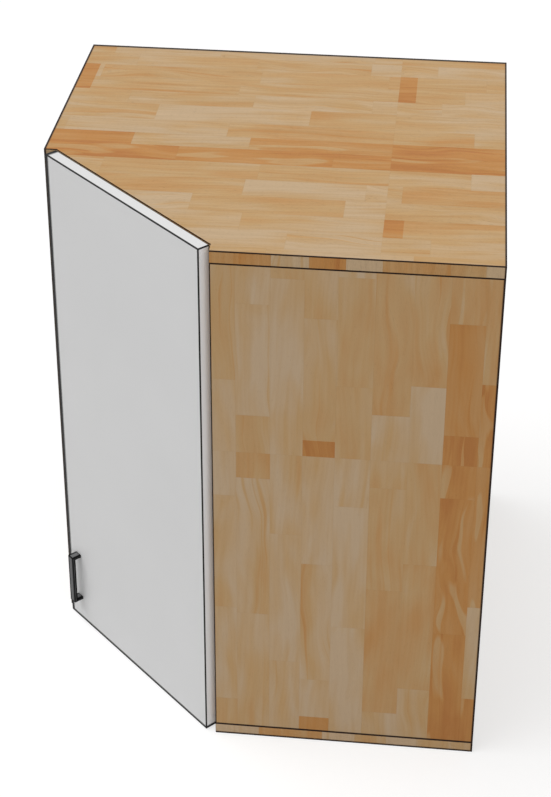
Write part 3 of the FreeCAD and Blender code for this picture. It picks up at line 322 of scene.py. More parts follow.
def woodGroup():
    group = bpy.data.node_groups.new("laminatedStaves", "ShaderNodeTree")
    face = group.interface
    for name, kind, default in (("Place", "Vector", (0, 0, 0)), ("Facing", "Vector", (0, 0, 1)),
                                ("Seed", "Float", 0.0), ("Heart Centre", "Float", noHeart),
                                ("Upright Edges", "Float", 0.0), ("Grain Depth", "Float", 1.0)):
        socket = face.new_socket(name, in_out="INPUT", socket_type="NodeSocket" + kind)
        socket.default_value = default
    for name, kind in (("Color", "Color"), ("Roughness", "Float"), ("Height", "Float")):
        face.new_socket(name, in_out="OUTPUT", socket_type="NodeSocket" + kind)
    given = addNode(group, "NodeGroupInput").outputs
    result = addNode(group, "NodeGroupOutput").inputs

    def plus(first, second):
        return calc(group, "ADD", first, second)

    def minus(first, second):
        return calc(group, "SUBTRACT", first, second)

    def times(first, *others):
        for other in others:
            first = calc(group, "MULTIPLY", first, other)
        return first

    def over(value, limit):
        return calc(group, "GREATER_THAN", value, limit)

    def noise(kind, spin):
        alongScale, acrossScale, *character = woodNoise[kind]
        spot = addNode(group, "ShaderNodeCombineXYZ",
                       {0: times(run, alongScale), 1: times(leaning, acrossScale), 2: spin})
        return noiseAt(group, spot.outputs[0], 1.0, *character)

    def choose(share, first, second):
        # the node's sockets 2 and 3 take numbers
        return addNode(group, "ShaderNodeMix", {0: share, 2: first, 3: second}).outputs[0]

    def cells(position, randomness, feature):
        return addNode(group, "ShaderNodeTexVoronoi",
                       {"W": position, "Scale": 1.0, "Randomness": randomness},
                       voronoi_dimensions="1D", feature=feature).outputs

    # broad faces show the staves lengthwise, and so do the long edges
    along, across, deep = addNode(group, "ShaderNodeSeparateXYZ", {0: given["Place"]}).outputs
    facing = addNode(group, "ShaderNodeSeparateXYZ", {0: given["Facing"]}).outputs
    broad = over(calc(group, "ABSOLUTE", facing[2]), 0.5)
    narrow = minus(1.0, broad)
    longEdge = over(calc(group, "ABSOLUTE", facing[1]), 0.5)
    run = choose(calc(group, "MAXIMUM", broad, longEdge), deep, along)
    side = choose(times(longEdge, narrow), across, deep)
    # round a seven-sided board they stand upright
    upright = times(narrow, given["Upright Edges"])
    edgeRun = minus(times(along, facing[1]), times(across, facing[0]))
    run = choose(upright, run, deep)
    side = choose(upright, side, edgeRun)
    rowSide = choose(upright, across, edgeRun)

    # rows of staves, jointed end to end
    rowStart = times(given["Seed"], drawStep["seed"])
    rowPlace = plus(calc(group, "DIVIDE", rowSide, wood["staveWidth"]), rowStart)
    row = cells(rowPlace, wood["widthSpread"], "F1")
    rowDice = addNode(group, "ShaderNodeSeparateColor", {0: row["Color"]}).outputs
    rowMiddle = times(minus(row["W"], rowStart), wood["staveWidth"])
    panel = calc(group, "FLOOR", calc(group, "DIVIDE", run, wood["panelLength"]))
    panelStart = times(panel, wood["panelLength"])
    intoPanel = minus(run, panelStart)
    # a cut stave keeps at least the shortest length
    staveRun = calc(group, "MAXIMUM", intoPanel, wood["shortestStave"])
    staveRun = calc(group, "MINIMUM", staveRun, wood["panelLength"] - wood["shortestStave"])
    staveStart = plus(times(rowDice[0], drawStep["row"]), times(panel, drawStep["panel"]))
    stavePlace = calc(group, "DIVIDE", plus(panelStart, staveRun), wood["staveLength"])
    stavePlace = plus(stavePlace, staveStart)
    stave = cells(stavePlace, wood["lengthSpread"], "F1")
    dice = addNode(group, "ShaderNodeSeparateColor", {0: stave["Color"]}).outputs
    rowEdge = cells(rowPlace, wood["widthSpread"], "DISTANCE_TO_EDGE")["Distance"]
    staveEdge = cells(stavePlace, wood["lengthSpread"], "DISTANCE_TO_EDGE")["Distance"]
    panelEdge = calc(group, "PINGPONG", run, wood["panelLength"] / 2)
    glueGap = calc(group, "MINIMUM", times(staveEdge, wood["staveLength"]), panelEdge)
    glueGap = calc(group, "MINIMUM", times(rowEdge, wood["staveWidth"]), glueGap)
    # some rows begin with a short brown filler
    filler = times(over(wood["fillerLength"], intoPanel), over(rowDice[1], wood["fillerRarity"]), broad)

    # each stave has its own piece of grain, a little out of line
    leaning = plus(side, times(run, minus(dice[1], 0.5), wood["lean"]))
    own = times(dice[2], drawStep["stave"])
    otherOwn = plus(own, drawStep["other"])
    swirl = minus(noise("swirl", plus(own, drawStep["swirl"])), 0.5)
    leaning = plus(leaning, times(swirl, spread(group, dice[1], *wood["curlDice"], *wood["curl"])))
    grain = noise("grain", own)
    figure = noise("figure", own)
    streak = noise("streak", otherOwn)
    warp = noise("warp", otherOwn)
    cloud = noise("cloud", plus(own, drawStep["cloud"]))
    sapwood = noise("sapwood", plus(own, drawStep["sapwood"]))
    fibres = noise("fibres", own)
    pores = noise("pores", own)
    rings = times(plus(times(leaning, wood["ringsPerMetre"]), times(warp, wood["ringWander"])), math.tau)
    rings = spread(group, calc(group, "SINE", rings), -1.0, 1.0)
    rings = calc(group, "POWER", rings, wood["ringCurve"])

    # how warm a stave is
    fromHeart = calc(group, "ABSOLUTE", minus(rowMiddle, given["Heart Centre"]))
    inBand = times(over(wood["heartHalfWidth"], fromHeart), broad)
    plain = calc(group, "POWER", dice[0], wood["plainCurve"])
    plain = spread(group, plain, 0.0, 1.0, *wood["plainWarmth"])
    heart = spread(group, dice[0], *wood["heartDice"], *wood["heartWarmth"])
    sap = spread(group, sapwood, *wood["sapEdge"], 0.0, wood["sapShare"], smooth=True)
    heart = choose(sap, heart, wood["sapWarmth"])
    block = spread(group, dice[0], *wood["blockDice"], *wood["blockWarmth"])
    warmth = choose(filler, choose(inBand, plain, heart), wood["fillerWarmth"])
    warmth = choose(upright, warmth, block)
    shares = wood["warmthShares"]
    grainShare = times(given["Grain Depth"], wood["grainWarmth"])
    for part, share in ((figure, shares["figure"]), (cloud, shares["cloud"]), (grain, grainShare),
                        (rings, shares["rings"])):
        warmth = plus(warmth, times(minus(part, 0.5), share))
    warmStreak = spread(group, streak, *wood["streakEdge"], 0.0, wood["streakWarmth"], smooth=True)
    warmth = calc(group, "ADD", warmth, times(warmStreak, dice[1]), clamp=True)
    colours = [wood[shade] for shade in ("pale", "tan", "honey", "amber", "brown")]
    colour = ramp(group, warmth, list(zip(wood["warmthStops"], colours)))

    # fine light and dark, roughness and height
    poreTone = spread(group, pores, *wood["poreEdge"], 1.0, 1.0 - wood["pores"])
    glueTone = spread(group, glueGap, 0.0, wood["glueLine"], wood["glueTone"], 1.0)
    fineTone = times(spread(group, grain, *noiseSpan, *wood["grainTone"]),
                     spread(group, rings, 0.0, 1.0, *wood["ringTone"]),
                     spread(group, fibres, *noiseSpan, *wood["fibreTone"]), poreTone)
    fineTone = plus(times(minus(fineTone, 1.0), given["Grain Depth"]), 1.0)
    # the narrow faces are darkened here: painted shade, and partly the finish soaking into sawn edges
    tone = times(fineTone, spread(group, broad, 0.0, 1.0, wood["edgeSoakAndShade"], 1.0), glueTone)
    height = plus(times(fibres, wood["fibreHeight"]), times(poreTone, wood["poreHeight"]))
    group.links.new(shaded(group, colour, tone), result["Color"])
    group.links.new(spread(group, grain, *noiseSpan, *wood["roughness"]), result["Roughness"])
    group.links.new(times(height, glueTone), result["Height"])
    return group


staveGroup = woodGroup()


def secondNearest(tree, gaps):
    # an arris is where the second nearest face of the piece is close too
    nearest, second = gaps[0], gaps[1]
    nearest, second = calc(tree, "MINIMUM", nearest, second), calc(tree, "MAXIMUM", nearest, second)
    for gap in gaps[2:]:
        second = calc(tree, "MINIMUM", second, calc(tree, "MAXIMUM", nearest, gap))
        nearest = calc(tree, "MINIMUM", nearest, gap)
    return second


lineFade = (0.75, 1.25)            # from dark to clear, in widths of the line


def arrisLine(tree, gaps, strength=1.0):
    return spread(tree, secondNearest(tree, gaps), *lineFade, strength, 0.0)


def blockGaps(tree, part, low, high, widths):
    # distances to the faces in widths of the line there, first the low faces on the three axes
    gaps = [calc(tree, "SUBTRACT", part[axis], low[axis]) for axis in range(3)]
    gaps += [calc(tree, "SUBTRACT", high[axis], part[axis]) for axis in range(3)]
    return [calc(tree, "DIVIDE", gap, width) for gap, width in zip(gaps, widths)]


doorCorner = {
    "sideDepth": 0.350,
    "slope": 0.933,                # x and y add up to minus this along the door
    "lineWidth": 0.0004,
}


def cornerGap(tree, part):
    # the seven-sided boards stop short of their box at the door, in three planes
    first = calc(tree, "ADD", part[1], doorCorner["sideDepth"])
    second = calc(tree, "ADD", part[0], doorCorner["sideDepth"])
    slope = calc(tree, "ADD", calc(tree, "ADD", part[0], part[1]), doorCorner["slope"])
    slope = calc(tree, "MULTIPLY", slope, diagonal)
    gap = calc(tree, "MAXIMUM", slope, calc(tree, "MAXIMUM", first, second))
    return calc(tree, "DIVIDE", gap, doorCorner["lineWidth"])


fineLine = 0.0013                  # width of the dark line along an arris
jointLine = 0.0011                 # where two boards meet flush, and both have one
inside = dict(widths=[0.0007] * 6, strength=0.5)       # thinner and fainter on the boards within
# painted shade: both side boards darkened to stand for the shade on their upright faces
paintedSideShade = (0.905, 0.925, 0.985, 1.0)


def boardMaterial(name, node, order, seed, heartCentre=noHeart, tone=white, grainDepth=1.0,
                  widths=None, outlined=False, strength=1.0):
    # order names the axes along the grain, across it and through the board
    material, tree, shader = newMaterial(name)
    low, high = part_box(node)
    coordinates = addNode(tree, "ShaderNodeTexCoord").outputs
    part = addNode(tree, "ShaderNodeSeparateXYZ", {0: coordinates["Object"]}).outputs
    moved = vectorCalc(tree, "SUBTRACT", coordinates["Object"], tuple(low))
    staves = addNode(tree, "ShaderNodeGroup", node_tree=staveGroup)
    for label, source in (("Place", moved), ("Facing", coordinates["Normal"])):
        split = addNode(tree, "ShaderNodeSeparateXYZ", {0: source}).outputs
        turned = addNode(tree, "ShaderNodeCombineXYZ",
                         {number: split[letter] for number, letter in enumerate(order)})
        tree.links.new(turned.outputs[0], staves.inputs[label])
    staves.inputs["Seed"].default_value = seed
    staves.inputs["Heart Centre"].default_value = heartCentre
    staves.inputs["Upright Edges"].default_value = 1.0 if outlined else 0.0
    staves.inputs["Grain Depth"].default_value = grainDepth
    gaps = blockGaps(tree, part, low, high, widths or [fineLine] * 6)
    if outlined:
        gaps.append(cornerGap(tree, part))
    # tone darkens or lightens a whole board: painted shade on the side boards, painted light on the bottom
    # board
    colour = mixColour(tree, 1.0, staves.outputs["Color"], tone, "MULTIPLY")
    colour = mixColour(tree, arrisLine(tree, gaps, strength), colour, wood["arrisColour"])
    tree.links.new(colour, shader.inputs["Base Color"])
    tree.links.new(staves.outputs["Roughness"], shader.inputs["Roughness"])
    shader.inputs["Specular IOR Level"].default_value = wood["gloss"]
    addBump(tree, shader, staves.outputs["Height"], *wood["bump"])
    return material


# widths are for the low faces on x, y and z and then for the high ones
boards = {
    "top_panel": dict(order="XYZ", seed=42.10, heartCentre=0.278, outlined=True, grainDepth=1.5,
                      widths=[0.0030, 0.0014, jointLine, 0.0023, 0.0056, 0.0014]),
    "bottom_panel": dict(order="XYZ", seed=11.0, heartCentre=0.278, outlined=True,
                         # painted light: the bottom board lightened so its front edge, which the lamps
                         # leave darker, reads brighter
                         tone=(1.04, 1.05, 1.10, 1.0),
                         widths=[fineLine, fineLine, 0.0030, 0.0026, fineLine, 0.0015]),
    "right_side_panel": dict(order="ZXY", seed=32.23, heartCentre=0.322, grainDepth=0.6,
                             tone=paintedSideShade,
                             widths=[0.0015, fineLine, 0.0015, 0.0027, fineLine, jointLine]),
    "left_side_panel": dict(order="ZYX", seed=17.0, heartCentre=0.30, grainDepth=0.6,
                            tone=paintedSideShade,
                            widths=[fineLine, fineLine, 0.0015, fineLine, fineLine, jointLine]),
    "corner_post": dict(order="ZXY", seed=23.0, **inside),
    "right_lower_rail": dict(order="YZX", seed=29.0, **inside),
    "right_upper_rail": dict(order="YZX", seed=31.0, **inside),
    "left_lower_rail": dict(order="XZY", seed=37.0, **inside),
    "left_upper_rail": dict(order="XZY", seed=41.0, **inside),
    "lower_shelf": dict(order="XYZ", seed=43.0, **inside),
    "upper_shelf": dict(order="XYZ", seed=47.0, **inside),
}
for node, choice in boards.items():
    dress(nodes[node], boardMaterial(node + ".wood", node, **choice))


veneer = {
    "stretch": (55.0, 55.0, 4.0),  # waves per metre, fewer up the sheet
    "figure": (0.25, 0.25, 0.4),
    "wander": 0.8,
    "rings": 60.0,
    "ringShare": 0.28,
    "fibreScale": 6.0,
    "fibreShare": 0.5,
    "stops": (0.1, 0.45, 0.8),
    "roughness": (0.50, 0.62),
    "bump": (0.2, 0.0002),
}


def veneerMaterial(name, seed):
    # rotary cut sheet: wide wandering figure, no staves
    material, tree, shader = newMaterial(name)
    place = vectorCalc(tree, "MULTIPLY", objectPlace(tree), veneer["stretch"])
    place = vectorCalc(tree, "ADD", place, (seed, seed, seed))
    figure = noiseAt(tree, vectorCalc(tree, "MULTIPLY", place, veneer["figure"]), 1.0, detail=2.0,
                     distortion=veneer["wander"])
    rings = calc(tree, "SINE", calc(tree, "MULTIPLY", figure, veneer["rings"]))
    rings = calc(tree, "MULTIPLY", spread(tree, rings, -1.0, 1.0), veneer["ringShare"])
    fibre = noiseAt(tree, place, veneer["fibreScale"], detail=3.0)
    warmth = calc(tree, "ADD", rings, calc(tree, "MULTIPLY", fibre, veneer["fibreShare"]))
    colours = [wood[shade] for shade in ("pale", "tan", "honey")]
    colour = ramp(tree, warmth, list(zip(veneer["stops"], colours)))
    tree.links.new(colour, shader.inputs["Base Color"])
    tree.links.new(spread(tree, fibre, *noiseSpan, *veneer["roughness"]), shader.inputs["Roughness"])
    shader.inputs["Specular IOR Level"].default_value = wood["gloss"]
    addBump(tree, shader, fibre, *veneer["bump"])
    return material


dress(nodes["right_back_panel"], veneerMaterial("rightBackVeneer", 3.1))
dress(nodes["left_back_panel"], veneerMaterial("leftBackVeneer", 8.7))
print("stage: laminated boards and veneered backs")

# door and handle

door = {
    "colour": fromScreen(224, 224, 224),
    "colourBand": fromScreen(240, 241, 243),         # painted light: the door's upright edges lighter than its front, though the same lacquer, where the lamps leave them in shade
    "roughness": 0.45,
    "gloss": 0.15,
    "grain": 0.0018,
    "bump": (0.12, 0.0002),
    # on the low faces along, outwards and up, and then on the high ones
    "lines": [0.0016, 0.0010, 0.0048, 0.0066, 0.0016, 0.0016],
}
handle = {
    "colour": fromScreen(106, 106, 107),
    "roughness": 0.5,
    "gloss": 0.06,
    "grain": 0.0006,
    "bump": (0.3, 0.0002),
    "lines": [0.0028, 0.0013, 0.0018, 0.0028, 0.0015, 0.0018],
    "hollow": (0.0048, 0.0046),                # thickness of the bar and of its legs
}
paint = {
    "line": fromScreen(4, 4, 4),
    "paintedLightFacing": 0.7,             # how squarely a face looks along the door to take the painted light
    "cloudScale": 6.0,
    "cloudTone": (0.985, 1.012),
    "roughnessSpread": 0.04,
}
doorAxes = ((-diagonal, diagonal, 0), (-diagonal, -diagonal, 0), (0, 0, 1))     # along, outwards, up


def turnedBox(node):
    # the node's lowest and highest place on the door's axes
    spans = [[Vector(axis).dot(vertex.co) for axis in doorAxes] for vertex in nodes[node].data.vertices]
    return [min(span) for span in zip(*spans)], [max(span) for span in zip(*spans)]


def paintMaterial(name, node, finish):
    material, tree, shader = newMaterial(name)
    low, high = turnedBox(node)
    coordinates = addNode(tree, "ShaderNodeTexCoord").outputs
    part = [vectorCalc(tree, "DOT_PRODUCT", coordinates["Object"], axis) for axis in doorAxes]
    place = addNode(tree, "ShaderNodeCombineXYZ", dict(enumerate(part))).outputs[0]
    gaps = blockGaps(tree, part, low, high, finish["lines"])
    if "hollow" in finish:
        # the hollow behind the bar has arrises too
        bar, leg = finish["hollow"]
        foot = calc(tree, "SUBTRACT", low[2] + leg, part[2])
        head = calc(tree, "SUBTRACT", part[2], high[2] - leg)
        hollow = calc(tree, "MAXIMUM", foot, head)
        hollow = calc(tree, "MAXIMUM", hollow, calc(tree, "SUBTRACT", part[1], high[1] - bar))
        gaps.append(calc(tree, "DIVIDE", hollow, finish["lines"][0]))
    peel = noiseAt(tree, place, 1 / finish["grain"], detail=3.0)
    cloud = noiseAt(tree, place, paint["cloudScale"], detail=2.0)
    colour = finish["colour"]
    # painted light on the door's upright edges
    if "colourBand" in finish:
        sideways = vectorCalc(tree, "DOT_PRODUCT", coordinates["Normal"], doorAxes[0])
        onPaintedLightEdge = calc(tree, "GREATER_THAN", calc(tree, "ABSOLUTE", sideways), paint["paintedLightFacing"])
        colour = mixColour(tree, onPaintedLightEdge, colour, finish["colourBand"])
    colour = shaded(tree, colour, spread(tree, cloud, *noiseSpan, *paint["cloudTone"]))
    colour = mixColour(tree, arrisLine(tree, gaps), colour, paint["line"])
    tree.links.new(colour, shader.inputs["Base Color"])
    smoothest = finish["roughness"] - paint["roughnessSpread"]
    roughest = finish["roughness"] + paint["roughnessSpread"]
    tree.links.new(spread(tree, peel, *noiseSpan, smoothest, roughest), shader.inputs["Roughness"])
    shader.inputs["Specular IOR Level"].default_value = finish["gloss"]
    addBump(tree, shader, peel, *finish["bump"])
    return material


dress(nodes["door_panel"], paintMaterial("doorLacquer", "door_panel", door))
dress(nodes["handle"], paintMaterial("handlePowder", "handle", handle))
print("stage: door and handle")


# metal, dowels and bumpers

metals = {
    "hingeNickel": dict(colour=fromScreen(205, 203, 198), roughness=0.26, scratches=0.035),
    "zincPlate": dict(colour=fromScreen(196, 199, 203), roughness=0.34, scratches=0.06),
    "dieCastZinc": dict(colour=fromScreen(172, 174, 178), roughness=0.46, scratches=0.04),
}
metalWear = {
    "cloudScale": 90.0,
    "cloudTone": (0.93, 1.04),
    "speckScale": 1800.0,
    "scratchStretch": (2600.0, 2600.0, 110.0),
    "scratchEdge": (0.56, 0.70),
    "smoother": 0.05,
    "rougher": 0.08,
    "bump": (0.08, 0.00004),
}


def metalMaterial(name, colour, roughness, scratches):
    material, tree, shader = newMaterial(name)
    place = objectPlace(tree)
    cloud = noiseAt(tree, place, metalWear["cloudScale"], detail=3.0)
    speck = noiseAt(tree, place, metalWear["speckScale"], detail=2.0)
    scratch = vectorCalc(tree, "MULTIPLY", place, metalWear["scratchStretch"])
    scratch = spread(tree, noiseAt(tree, scratch, 1.0, detail=2.0), *metalWear["scratchEdge"])
    worn = calc(tree, "MULTIPLY", scratch, scratches)
    tone = calc(tree, "SUBTRACT", spread(tree, cloud, *noiseSpan, *metalWear["cloudTone"]), worn)
    tree.links.new(shaded(tree, colour, tone), shader.inputs["Base Color"])
    shader.inputs["Metallic"].default_value = 1.0
    smoothest, roughest = roughness - metalWear["smoother"], roughness + metalWear["rougher"]
    rough = calc(tree, "ADD", spread(tree, cloud, *noiseSpan, smoothest, roughest), worn)
    tree.links.new(rough, shader.inputs["Roughness"])
    addBump(tree, shader, calc(tree, "SUBTRACT", speck, scratch), *metalWear["bump"])
    return material


finishes = {name: metalMaterial(name, **settings) for name, settings in metals.items()}


beechWood = {
    "light": fromScreen(214, 178, 138),
    "dark": fromScreen(190, 146, 104),
    "stretch": (900.0, 900.0, 70.0),
    "fleckScale": 1500.0,
    "fleckEdge": (0.6, 0.75),
    "fleckTone": 0.8,
    "roughness": (0.62, 0.78),
    "bump": (0.4, 0.0001),
}


def beechMaterial():
    material, tree, shader = newMaterial("bareBeech")
    place = objectPlace(tree)
    fibre = noiseAt(tree, vectorCalc(tree, "MULTIPLY", place, beechWood["stretch"]), 1.0, detail=3.0)
    fleck = noiseAt(tree, place, beechWood["fleckScale"], detail=1.0)
    colour = ramp(tree, fibre, list(zip(noiseSpan, (beechWood["light"], beechWood["dark"]))))
    colour = shaded(tree, colour, spread(tree, fleck, *beechWood["fleckEdge"], 1.0, beechWood["fleckTone"]))
    tree.links.new(colour, shader.inputs["Base Color"])
    tree.links.new(spread(tree, fibre, *noiseSpan, *beechWood["roughness"]), shader.inputs["Roughness"])
    addBump(tree, shader, fibre, *beechWood["bump"])
    return material


bumper = {
    "clear": (0.78, 0.79, 0.78, 1),
    "hazy": (0.90, 0.90, 0.89, 1),
    "hazeScale": 500.0,
    "roughness": (0.22, 0.36),
    "seeThrough": 0.75,
    "bend": 1.45,
    "bump": (0.1, 0.0001),
}


def bumperMaterial():
    material, tree, shader = newMaterial("clearBumper")
    haze = noiseAt(tree, objectPlace(tree), bumper["hazeScale"], detail=3.0)
    colour = ramp(tree, haze, list(zip(noiseSpan, (bumper["clear"], bumper["hazy"]))))
    tree.links.new(colour, shader.inputs["Base Color"])
    tree.links.new(spread(tree, haze, *noiseSpan, *bumper["roughness"]), shader.inputs["Roughness"])
    shader.inputs["Transmission Weight"].default_value = bumper["seeThrough"]
    shader.inputs["IOR"].default_value = bumper["bend"]
    addBump(tree, shader, haze, *bumper["bump"])
    return material


beech = beechMaterial()
bumperClear = bumperMaterial()
for node, piece in nodes.items():
    if "hinge" in node:
        dress(piece, finishes["hingeNickel"])
    elif node == "cam_locks":
        dress(piece, finishes["dieCastZinc"])
    elif node == "cam_bolts" or node == "handle_screws" or node.endswith("shelf_pins"):
        dress(piece, finishes["zincPlate"])
    elif "dowels" in node:
        dress(piece, beech)
    elif node == "door_bumpers":
        dress(piece, bumperClear)
print("stage: metal, dowels and bumpers")

# turned pieces: screws and shelf pins

lathe = {
    "mergeDistance": 0.00002,
    "crispAngle": 35.0,            # degrees, above which an edge stays sharp
}


def geometryTree(name, piece):
    tree = bpy.data.node_groups.new(name, "GeometryNodeTree")
    tree.interface.new_socket("Places", in_out="INPUT", socket_type="NodeSocketGeometry")
    for label, value in piece["sizes"].items():
        socket = tree.interface.new_socket(label, in_out="INPUT", socket_type="NodeSocketFloat")
        socket.default_value = value
        socket.subtype = "DISTANCE"
    tree.interface.new_socket("Pieces", in_out="OUTPUT", socket_type="NodeSocketGeometry")
    return tree, addNode(tree, "NodeGroupInput"), addNode(tree, "NodeGroupOutput")


def turned(tree, given, profile, sides):
    # a grid bent round the axis: each profile point is a share of a radius and a share of a height
    grid = addNode(tree, "GeometryNodeMeshGrid", {"Vertices X": len(profile), "Vertices Y": sides + 1})
    index = addNode(tree, "GeometryNodeInputIndex").outputs[0]
    ring = calc(tree, "FLOOR", calc(tree, "DIVIDE", index, sides + 1.0))
    step = calc(tree, "SUBTRACT", index, calc(tree, "MULTIPLY", ring, sides + 1.0))
    angle = calc(tree, "MULTIPLY", step, math.tau / sides)
    chooser = addNode(tree, "GeometryNodeIndexSwitch", data_type="VECTOR")
    while len(chooser.index_switch_items) < len(profile):
        chooser.index_switch_items.new()
    tree.links.new(ring, chooser.inputs["Index"])
    for number, (radius, radiusShare, height, heightShare) in enumerate(profile):
        out = calc(tree, "MULTIPLY", given.outputs[radius], radiusShare)
        up = calc(tree, "MULTIPLY", given.outputs[height], heightShare)
        point = addNode(tree, "ShaderNodeCombineXYZ", {0: out, 2: up})
        tree.links.new(point.outputs[0], chooser.inputs[number + 1])
    spot = addNode(tree, "ShaderNodeVectorRotate", {"Vector": chooser.outputs[0], "Angle": angle},
                   rotation_type="Z_AXIS")
    placed = addNode(tree, "GeometryNodeSetPosition",
                     {"Geometry": grid.outputs["Mesh"], "Position": spot.outputs[0]})
    merged = addNode(tree, "GeometryNodeMergeByDistance",
                     {"Geometry": placed.outputs[0], "Distance": lathe["mergeDistance"]})
    return merged.outputs[0]


def scatterAndFinish(tree, given, result, piece, material):
    facing = addNode(tree, "GeometryNodeInputNamedAttribute", {"Name": "facing"},
                     data_type="FLOAT_VECTOR")
    turn = addNode(tree, "FunctionNodeAlignRotationToVector", {"Vector": facing.outputs[0]}, axis="Z")
    copies = addNode(tree, "GeometryNodeInstanceOnPoints",
                     {"Points": given.outputs["Places"], "Instance": piece, "Rotation": turn.outputs[0]})
    real = addNode(tree, "GeometryNodeRealizeInstances", {0: copies.outputs[0]})
    angle = addNode(tree, "GeometryNodeInputMeshEdgeAngle").outputs[0]
    crisp = calc(tree, "GREATER_THAN", angle, math.radians(lathe["crispAngle"]))
    smoothed = addNode(tree, "GeometryNodeSetShadeSmooth",
                       {0: real.outputs[0], "Selection": crisp, "Shade Smooth": False}, domain="EDGE")
    finished = addNode(tree, "GeometryNodeSetMaterial", {0: smoothed.outputs[0], "Material": material})
    tree.links.new(finished.outputs[0], result.inputs[0])


def grow(name, tree, places, facings, sizes):
    mesh = bpy.data.meshes.new(name + ".places")
    mesh.from_pydata(places, [], [])
    attribute = mesh.attributes.new("facing", "FLOAT_VECTOR", "POINT")
    for number, facing in enumerate(facings):
        attribute.data[number].vector = facing
    piece = bpy.data.objects.new(name, mesh)
    bpy.context.scene.collection.objects.link(piece)
    modifier = piece.modifiers.new("grow", "NODES")
    modifier.node_group = tree
    for item in tree.interface.items_tree:
        if item.item_type == "SOCKET" and item.in_out == "INPUT" and item.name in sizes:
            modifier[item.identifier] = sizes[item.name]
    depsgraph = bpy.context.evaluated_depsgraph_get()
    grown = bpy.data.meshes.new_from_object(piece.evaluated_get(depsgraph))
    piece.modifiers.clear()
    piece.data = grown
    grown.name = name
    finish = grown.materials[-1]       # Set Material leaves an empty slot before its own
    dress(piece, finish)
    grown.polygons.foreach_set("material_index", [0] * len(grown.polygons))
    bpy.data.meshes.remove(mesh)
    return piece


screw = {
    "sizes": {
        "Head Radius": 0.0034,
        "Head Height": 0.0017,
        "Shank Radius": 0.0019,
        "Shank Length": 0.0108,
        "Recess Width": 0.0042,
    },
    "sides": 28,
    "threads": 7,
    # shares of the head's radius and height, from the top
    "dome": ((0.0, 1.0), (0.35, 0.98), (0.66, 0.88), (0.88, 0.66), (0.98, 0.36), (1.0, 0.10), (0.96, 0.0)),
    # shares of the shank's radius and length
    "neck": 0.82,
    "root": 0.72,
    "crest": 0.98,
    "threadStart": 0.08,
    "threadRun": 0.72,
    "crestRun": (0.35, 0.45),      # where the crest lies within a turn
    "taperStart": 0.82,
    # shares of the recess's width and the head's height
    "wing": 0.22,
    "recessLift": 0.95,
}


def screwTree(material):
    tree, given, result = geometryTree("crossRecessScrew", screw)
    profile = [("Head Radius", share, "Head Height", level) for share, level in screw["dome"]]
    profile.append(("Shank Radius", screw["neck"], "Head Height", 0.0))
    pitch = screw["threadRun"] / screw["threads"]
    for turn in range(screw["threads"]):
        start = screw["threadStart"] + turn * pitch
        profile.append(("Shank Radius", screw["root"], "Shank Length", -start))
        for place in screw["crestRun"]:
            profile.append(("Shank Radius", screw["crest"], "Shank Length", -(start + pitch * place)))
    profile.append(("Shank Radius", screw["root"], "Shank Length", -screw["taperStart"]))
    profile.append(("Shank Radius", 0.0, "Shank Length", -1.0))
    cut = addNode(tree, "GeometryNodeMeshBoolean", {"Mesh 1": turned(tree, given, profile, screw["sides"])},
                  operation="DIFFERENCE", solver="MANIFOLD")
    width = given.outputs["Recess Width"]
    thin = calc(tree, "MULTIPLY", width, screw["wing"])
    tall = given.outputs["Head Height"]
    lift = calc(tree, "MULTIPLY", tall, screw["recessLift"])
    lift = addNode(tree, "ShaderNodeCombineXYZ", {2: lift}).outputs[0]
    for first, second in ((width, thin), (thin, width)):
        size = addNode(tree, "ShaderNodeCombineXYZ", {0: first, 1: second, 2: tall}).outputs[0]
        block = addNode(tree, "GeometryNodeMeshCube", {"Size": size}).outputs["Mesh"]
        bit = addNode(tree, "GeometryNodeTransform", {0: block, "Translation": lift}).outputs[0]
        tree.links.new(bit, cut.inputs["Mesh 2"])
    scatterAndFinish(tree, given, result, cut.outputs["Mesh"], material)
    return tree


pin = {
    "sizes": {
        "Pin Radius": 0.00245,
        "Seat Length": 0.0078,
        "Reach Length": 0.0074,
        "Collar Radius": 0.0039,
        "Collar Height": 0.00088,
    },
    "sides": 32,
    # shares of a radius and a length: the end under the shelf, the collar, and the end in the side
    "reach": ((0.0, 1.0), (0.70, 1.0), (0.90, 0.97), (1.0, 0.91)),
    "aboveCollar": 1.15,
    "collar": ((0.90, 1.0), (1.0, 0.80), (1.0, 0.10), (0.97, 0.0)),
    "seat": ((0.99, 0.0), (0.99, 0.90), (0.80, 1.0), (0.0, 1.0)),
}


def pinTree(material):
    tree, given, result = geometryTree("shelfPin", pin)
    profile = [("Pin Radius", share, "Reach Length", level) for share, level in pin["reach"]]
    profile.append(("Pin Radius", 1.0, "Collar Height", pin["aboveCollar"]))
    profile += [("Collar Radius", share, "Collar Height", level) for share, level in pin["collar"]]
    profile += [("Pin Radius", share, "Seat Length", -level) for share, level in pin["seat"]]
    scatterAndFinish(tree, given, result, turned(tree, given, profile, pin["sides"]), material)
    return tree


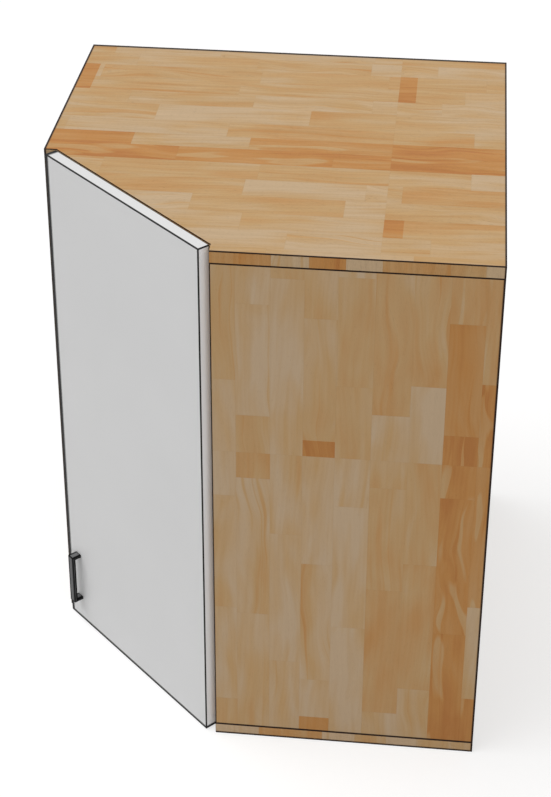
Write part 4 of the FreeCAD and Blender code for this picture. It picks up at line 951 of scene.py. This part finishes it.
hingeScrews = {                    # millimetres
    "levels": {"lower": 89.0, "upper": 665.0},
    "cup": (28.5, 0.5),            # along the door from its hinged edge, and outwards
    "cupStep": 24.0,               # each way from the level
    "plate": (-313.0, -580.5),
    "plateStep": 16.0,
    "plateShank": 0.0133,          # metres, as all sizes of a screw
    "fixing": (-313.0, -559.0),
}
pullScrews = {
    "place": (303.0, 1.5),
    "levels": (42.0, 118.0),
    "shankRadius": 0.00145,
    "shankLength": 0.0248,
}
shelfPins = {
    "levels": {"lower": 233.0, "upper": 457.0},
    "places": ((-313, -583), (-60, -583), (-583, -313), (-583, -60), (-26, -38), (-38, -26)),
    "facings": ((0, 1, 0), (0, 1, 0), (1, 0, 0), (1, 0, 0), (0, -1, 0), (-1, 0, 0)),
}
doorStart = (-350, -583)           # the door's hinged edge
intoCabinet = (diagonal, diagonal, 0)


def onDoor(spot, up):
    along, out = spot
    return ((doorStart[0] - (along + out) * diagonal) / 1000,
            (doorStart[1] + (along - out) * diagonal) / 1000, up / 1000)


def inRoom(spot, up):
    return spot[0] / 1000, spot[1] / 1000, up / 1000


nickelScrews = screwTree(finishes["hingeNickel"])
zincScrews = screwTree(finishes["zincPlate"])
zincPins = pinTree(finishes["zincPlate"])

for end, level in hingeScrews["levels"].items():
    hinge = end + "_hinge_"
    step = hingeScrews["cupStep"]
    cupScrews = grow(end + "CupScrews", nickelScrews,
                     [onDoor(hingeScrews["cup"], level + way) for way in (-step, step)],
                     [intoCabinet] * 2, screw["sizes"])
    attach(cupScrews, "door")
    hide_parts(hinge + "cup_screws")
    step = hingeScrews["plateStep"]
    plateScrews = grow(end + "PlateScrews", nickelScrews,
                       [inRoom(hingeScrews["plate"], level + way) for way in (-step, step)],
                       [(0, 1, 0)] * 2, {**screw["sizes"], "Shank Length": hingeScrews["plateShank"]})
    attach(plateScrews, "cabinet")
    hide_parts(hinge + "plate_screws")
    fixingScrew = grow(end + "FixingScrew", nickelScrews, [inRoom(hingeScrews["fixing"], level)],
                       [(0, 1, 0)], screw["sizes"])
    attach(fixingScrew, "cabinet")
    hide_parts(hinge + "fixing_screw")

handleScrews = grow("handleScrews", zincScrews,
                    [onDoor(pullScrews["place"], level) for level in pullScrews["levels"]],
                    [intoCabinet] * 2,
                    {**screw["sizes"], "Shank Radius": pullScrews["shankRadius"],
                     "Shank Length": pullScrews["shankLength"]})
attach(handleScrews, "door")
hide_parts("handle_screws")

for shelf, level in shelfPins["levels"].items():
    pins = grow(shelf + "ShelfPins", zincPins, [inRoom(spot, level) for spot in shelfPins["places"]],
                shelfPins["facings"], pin["sizes"])
    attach(pins, "cabinet")
    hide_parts(shelf + "_shelf_pins")
print("stage: turned pieces")
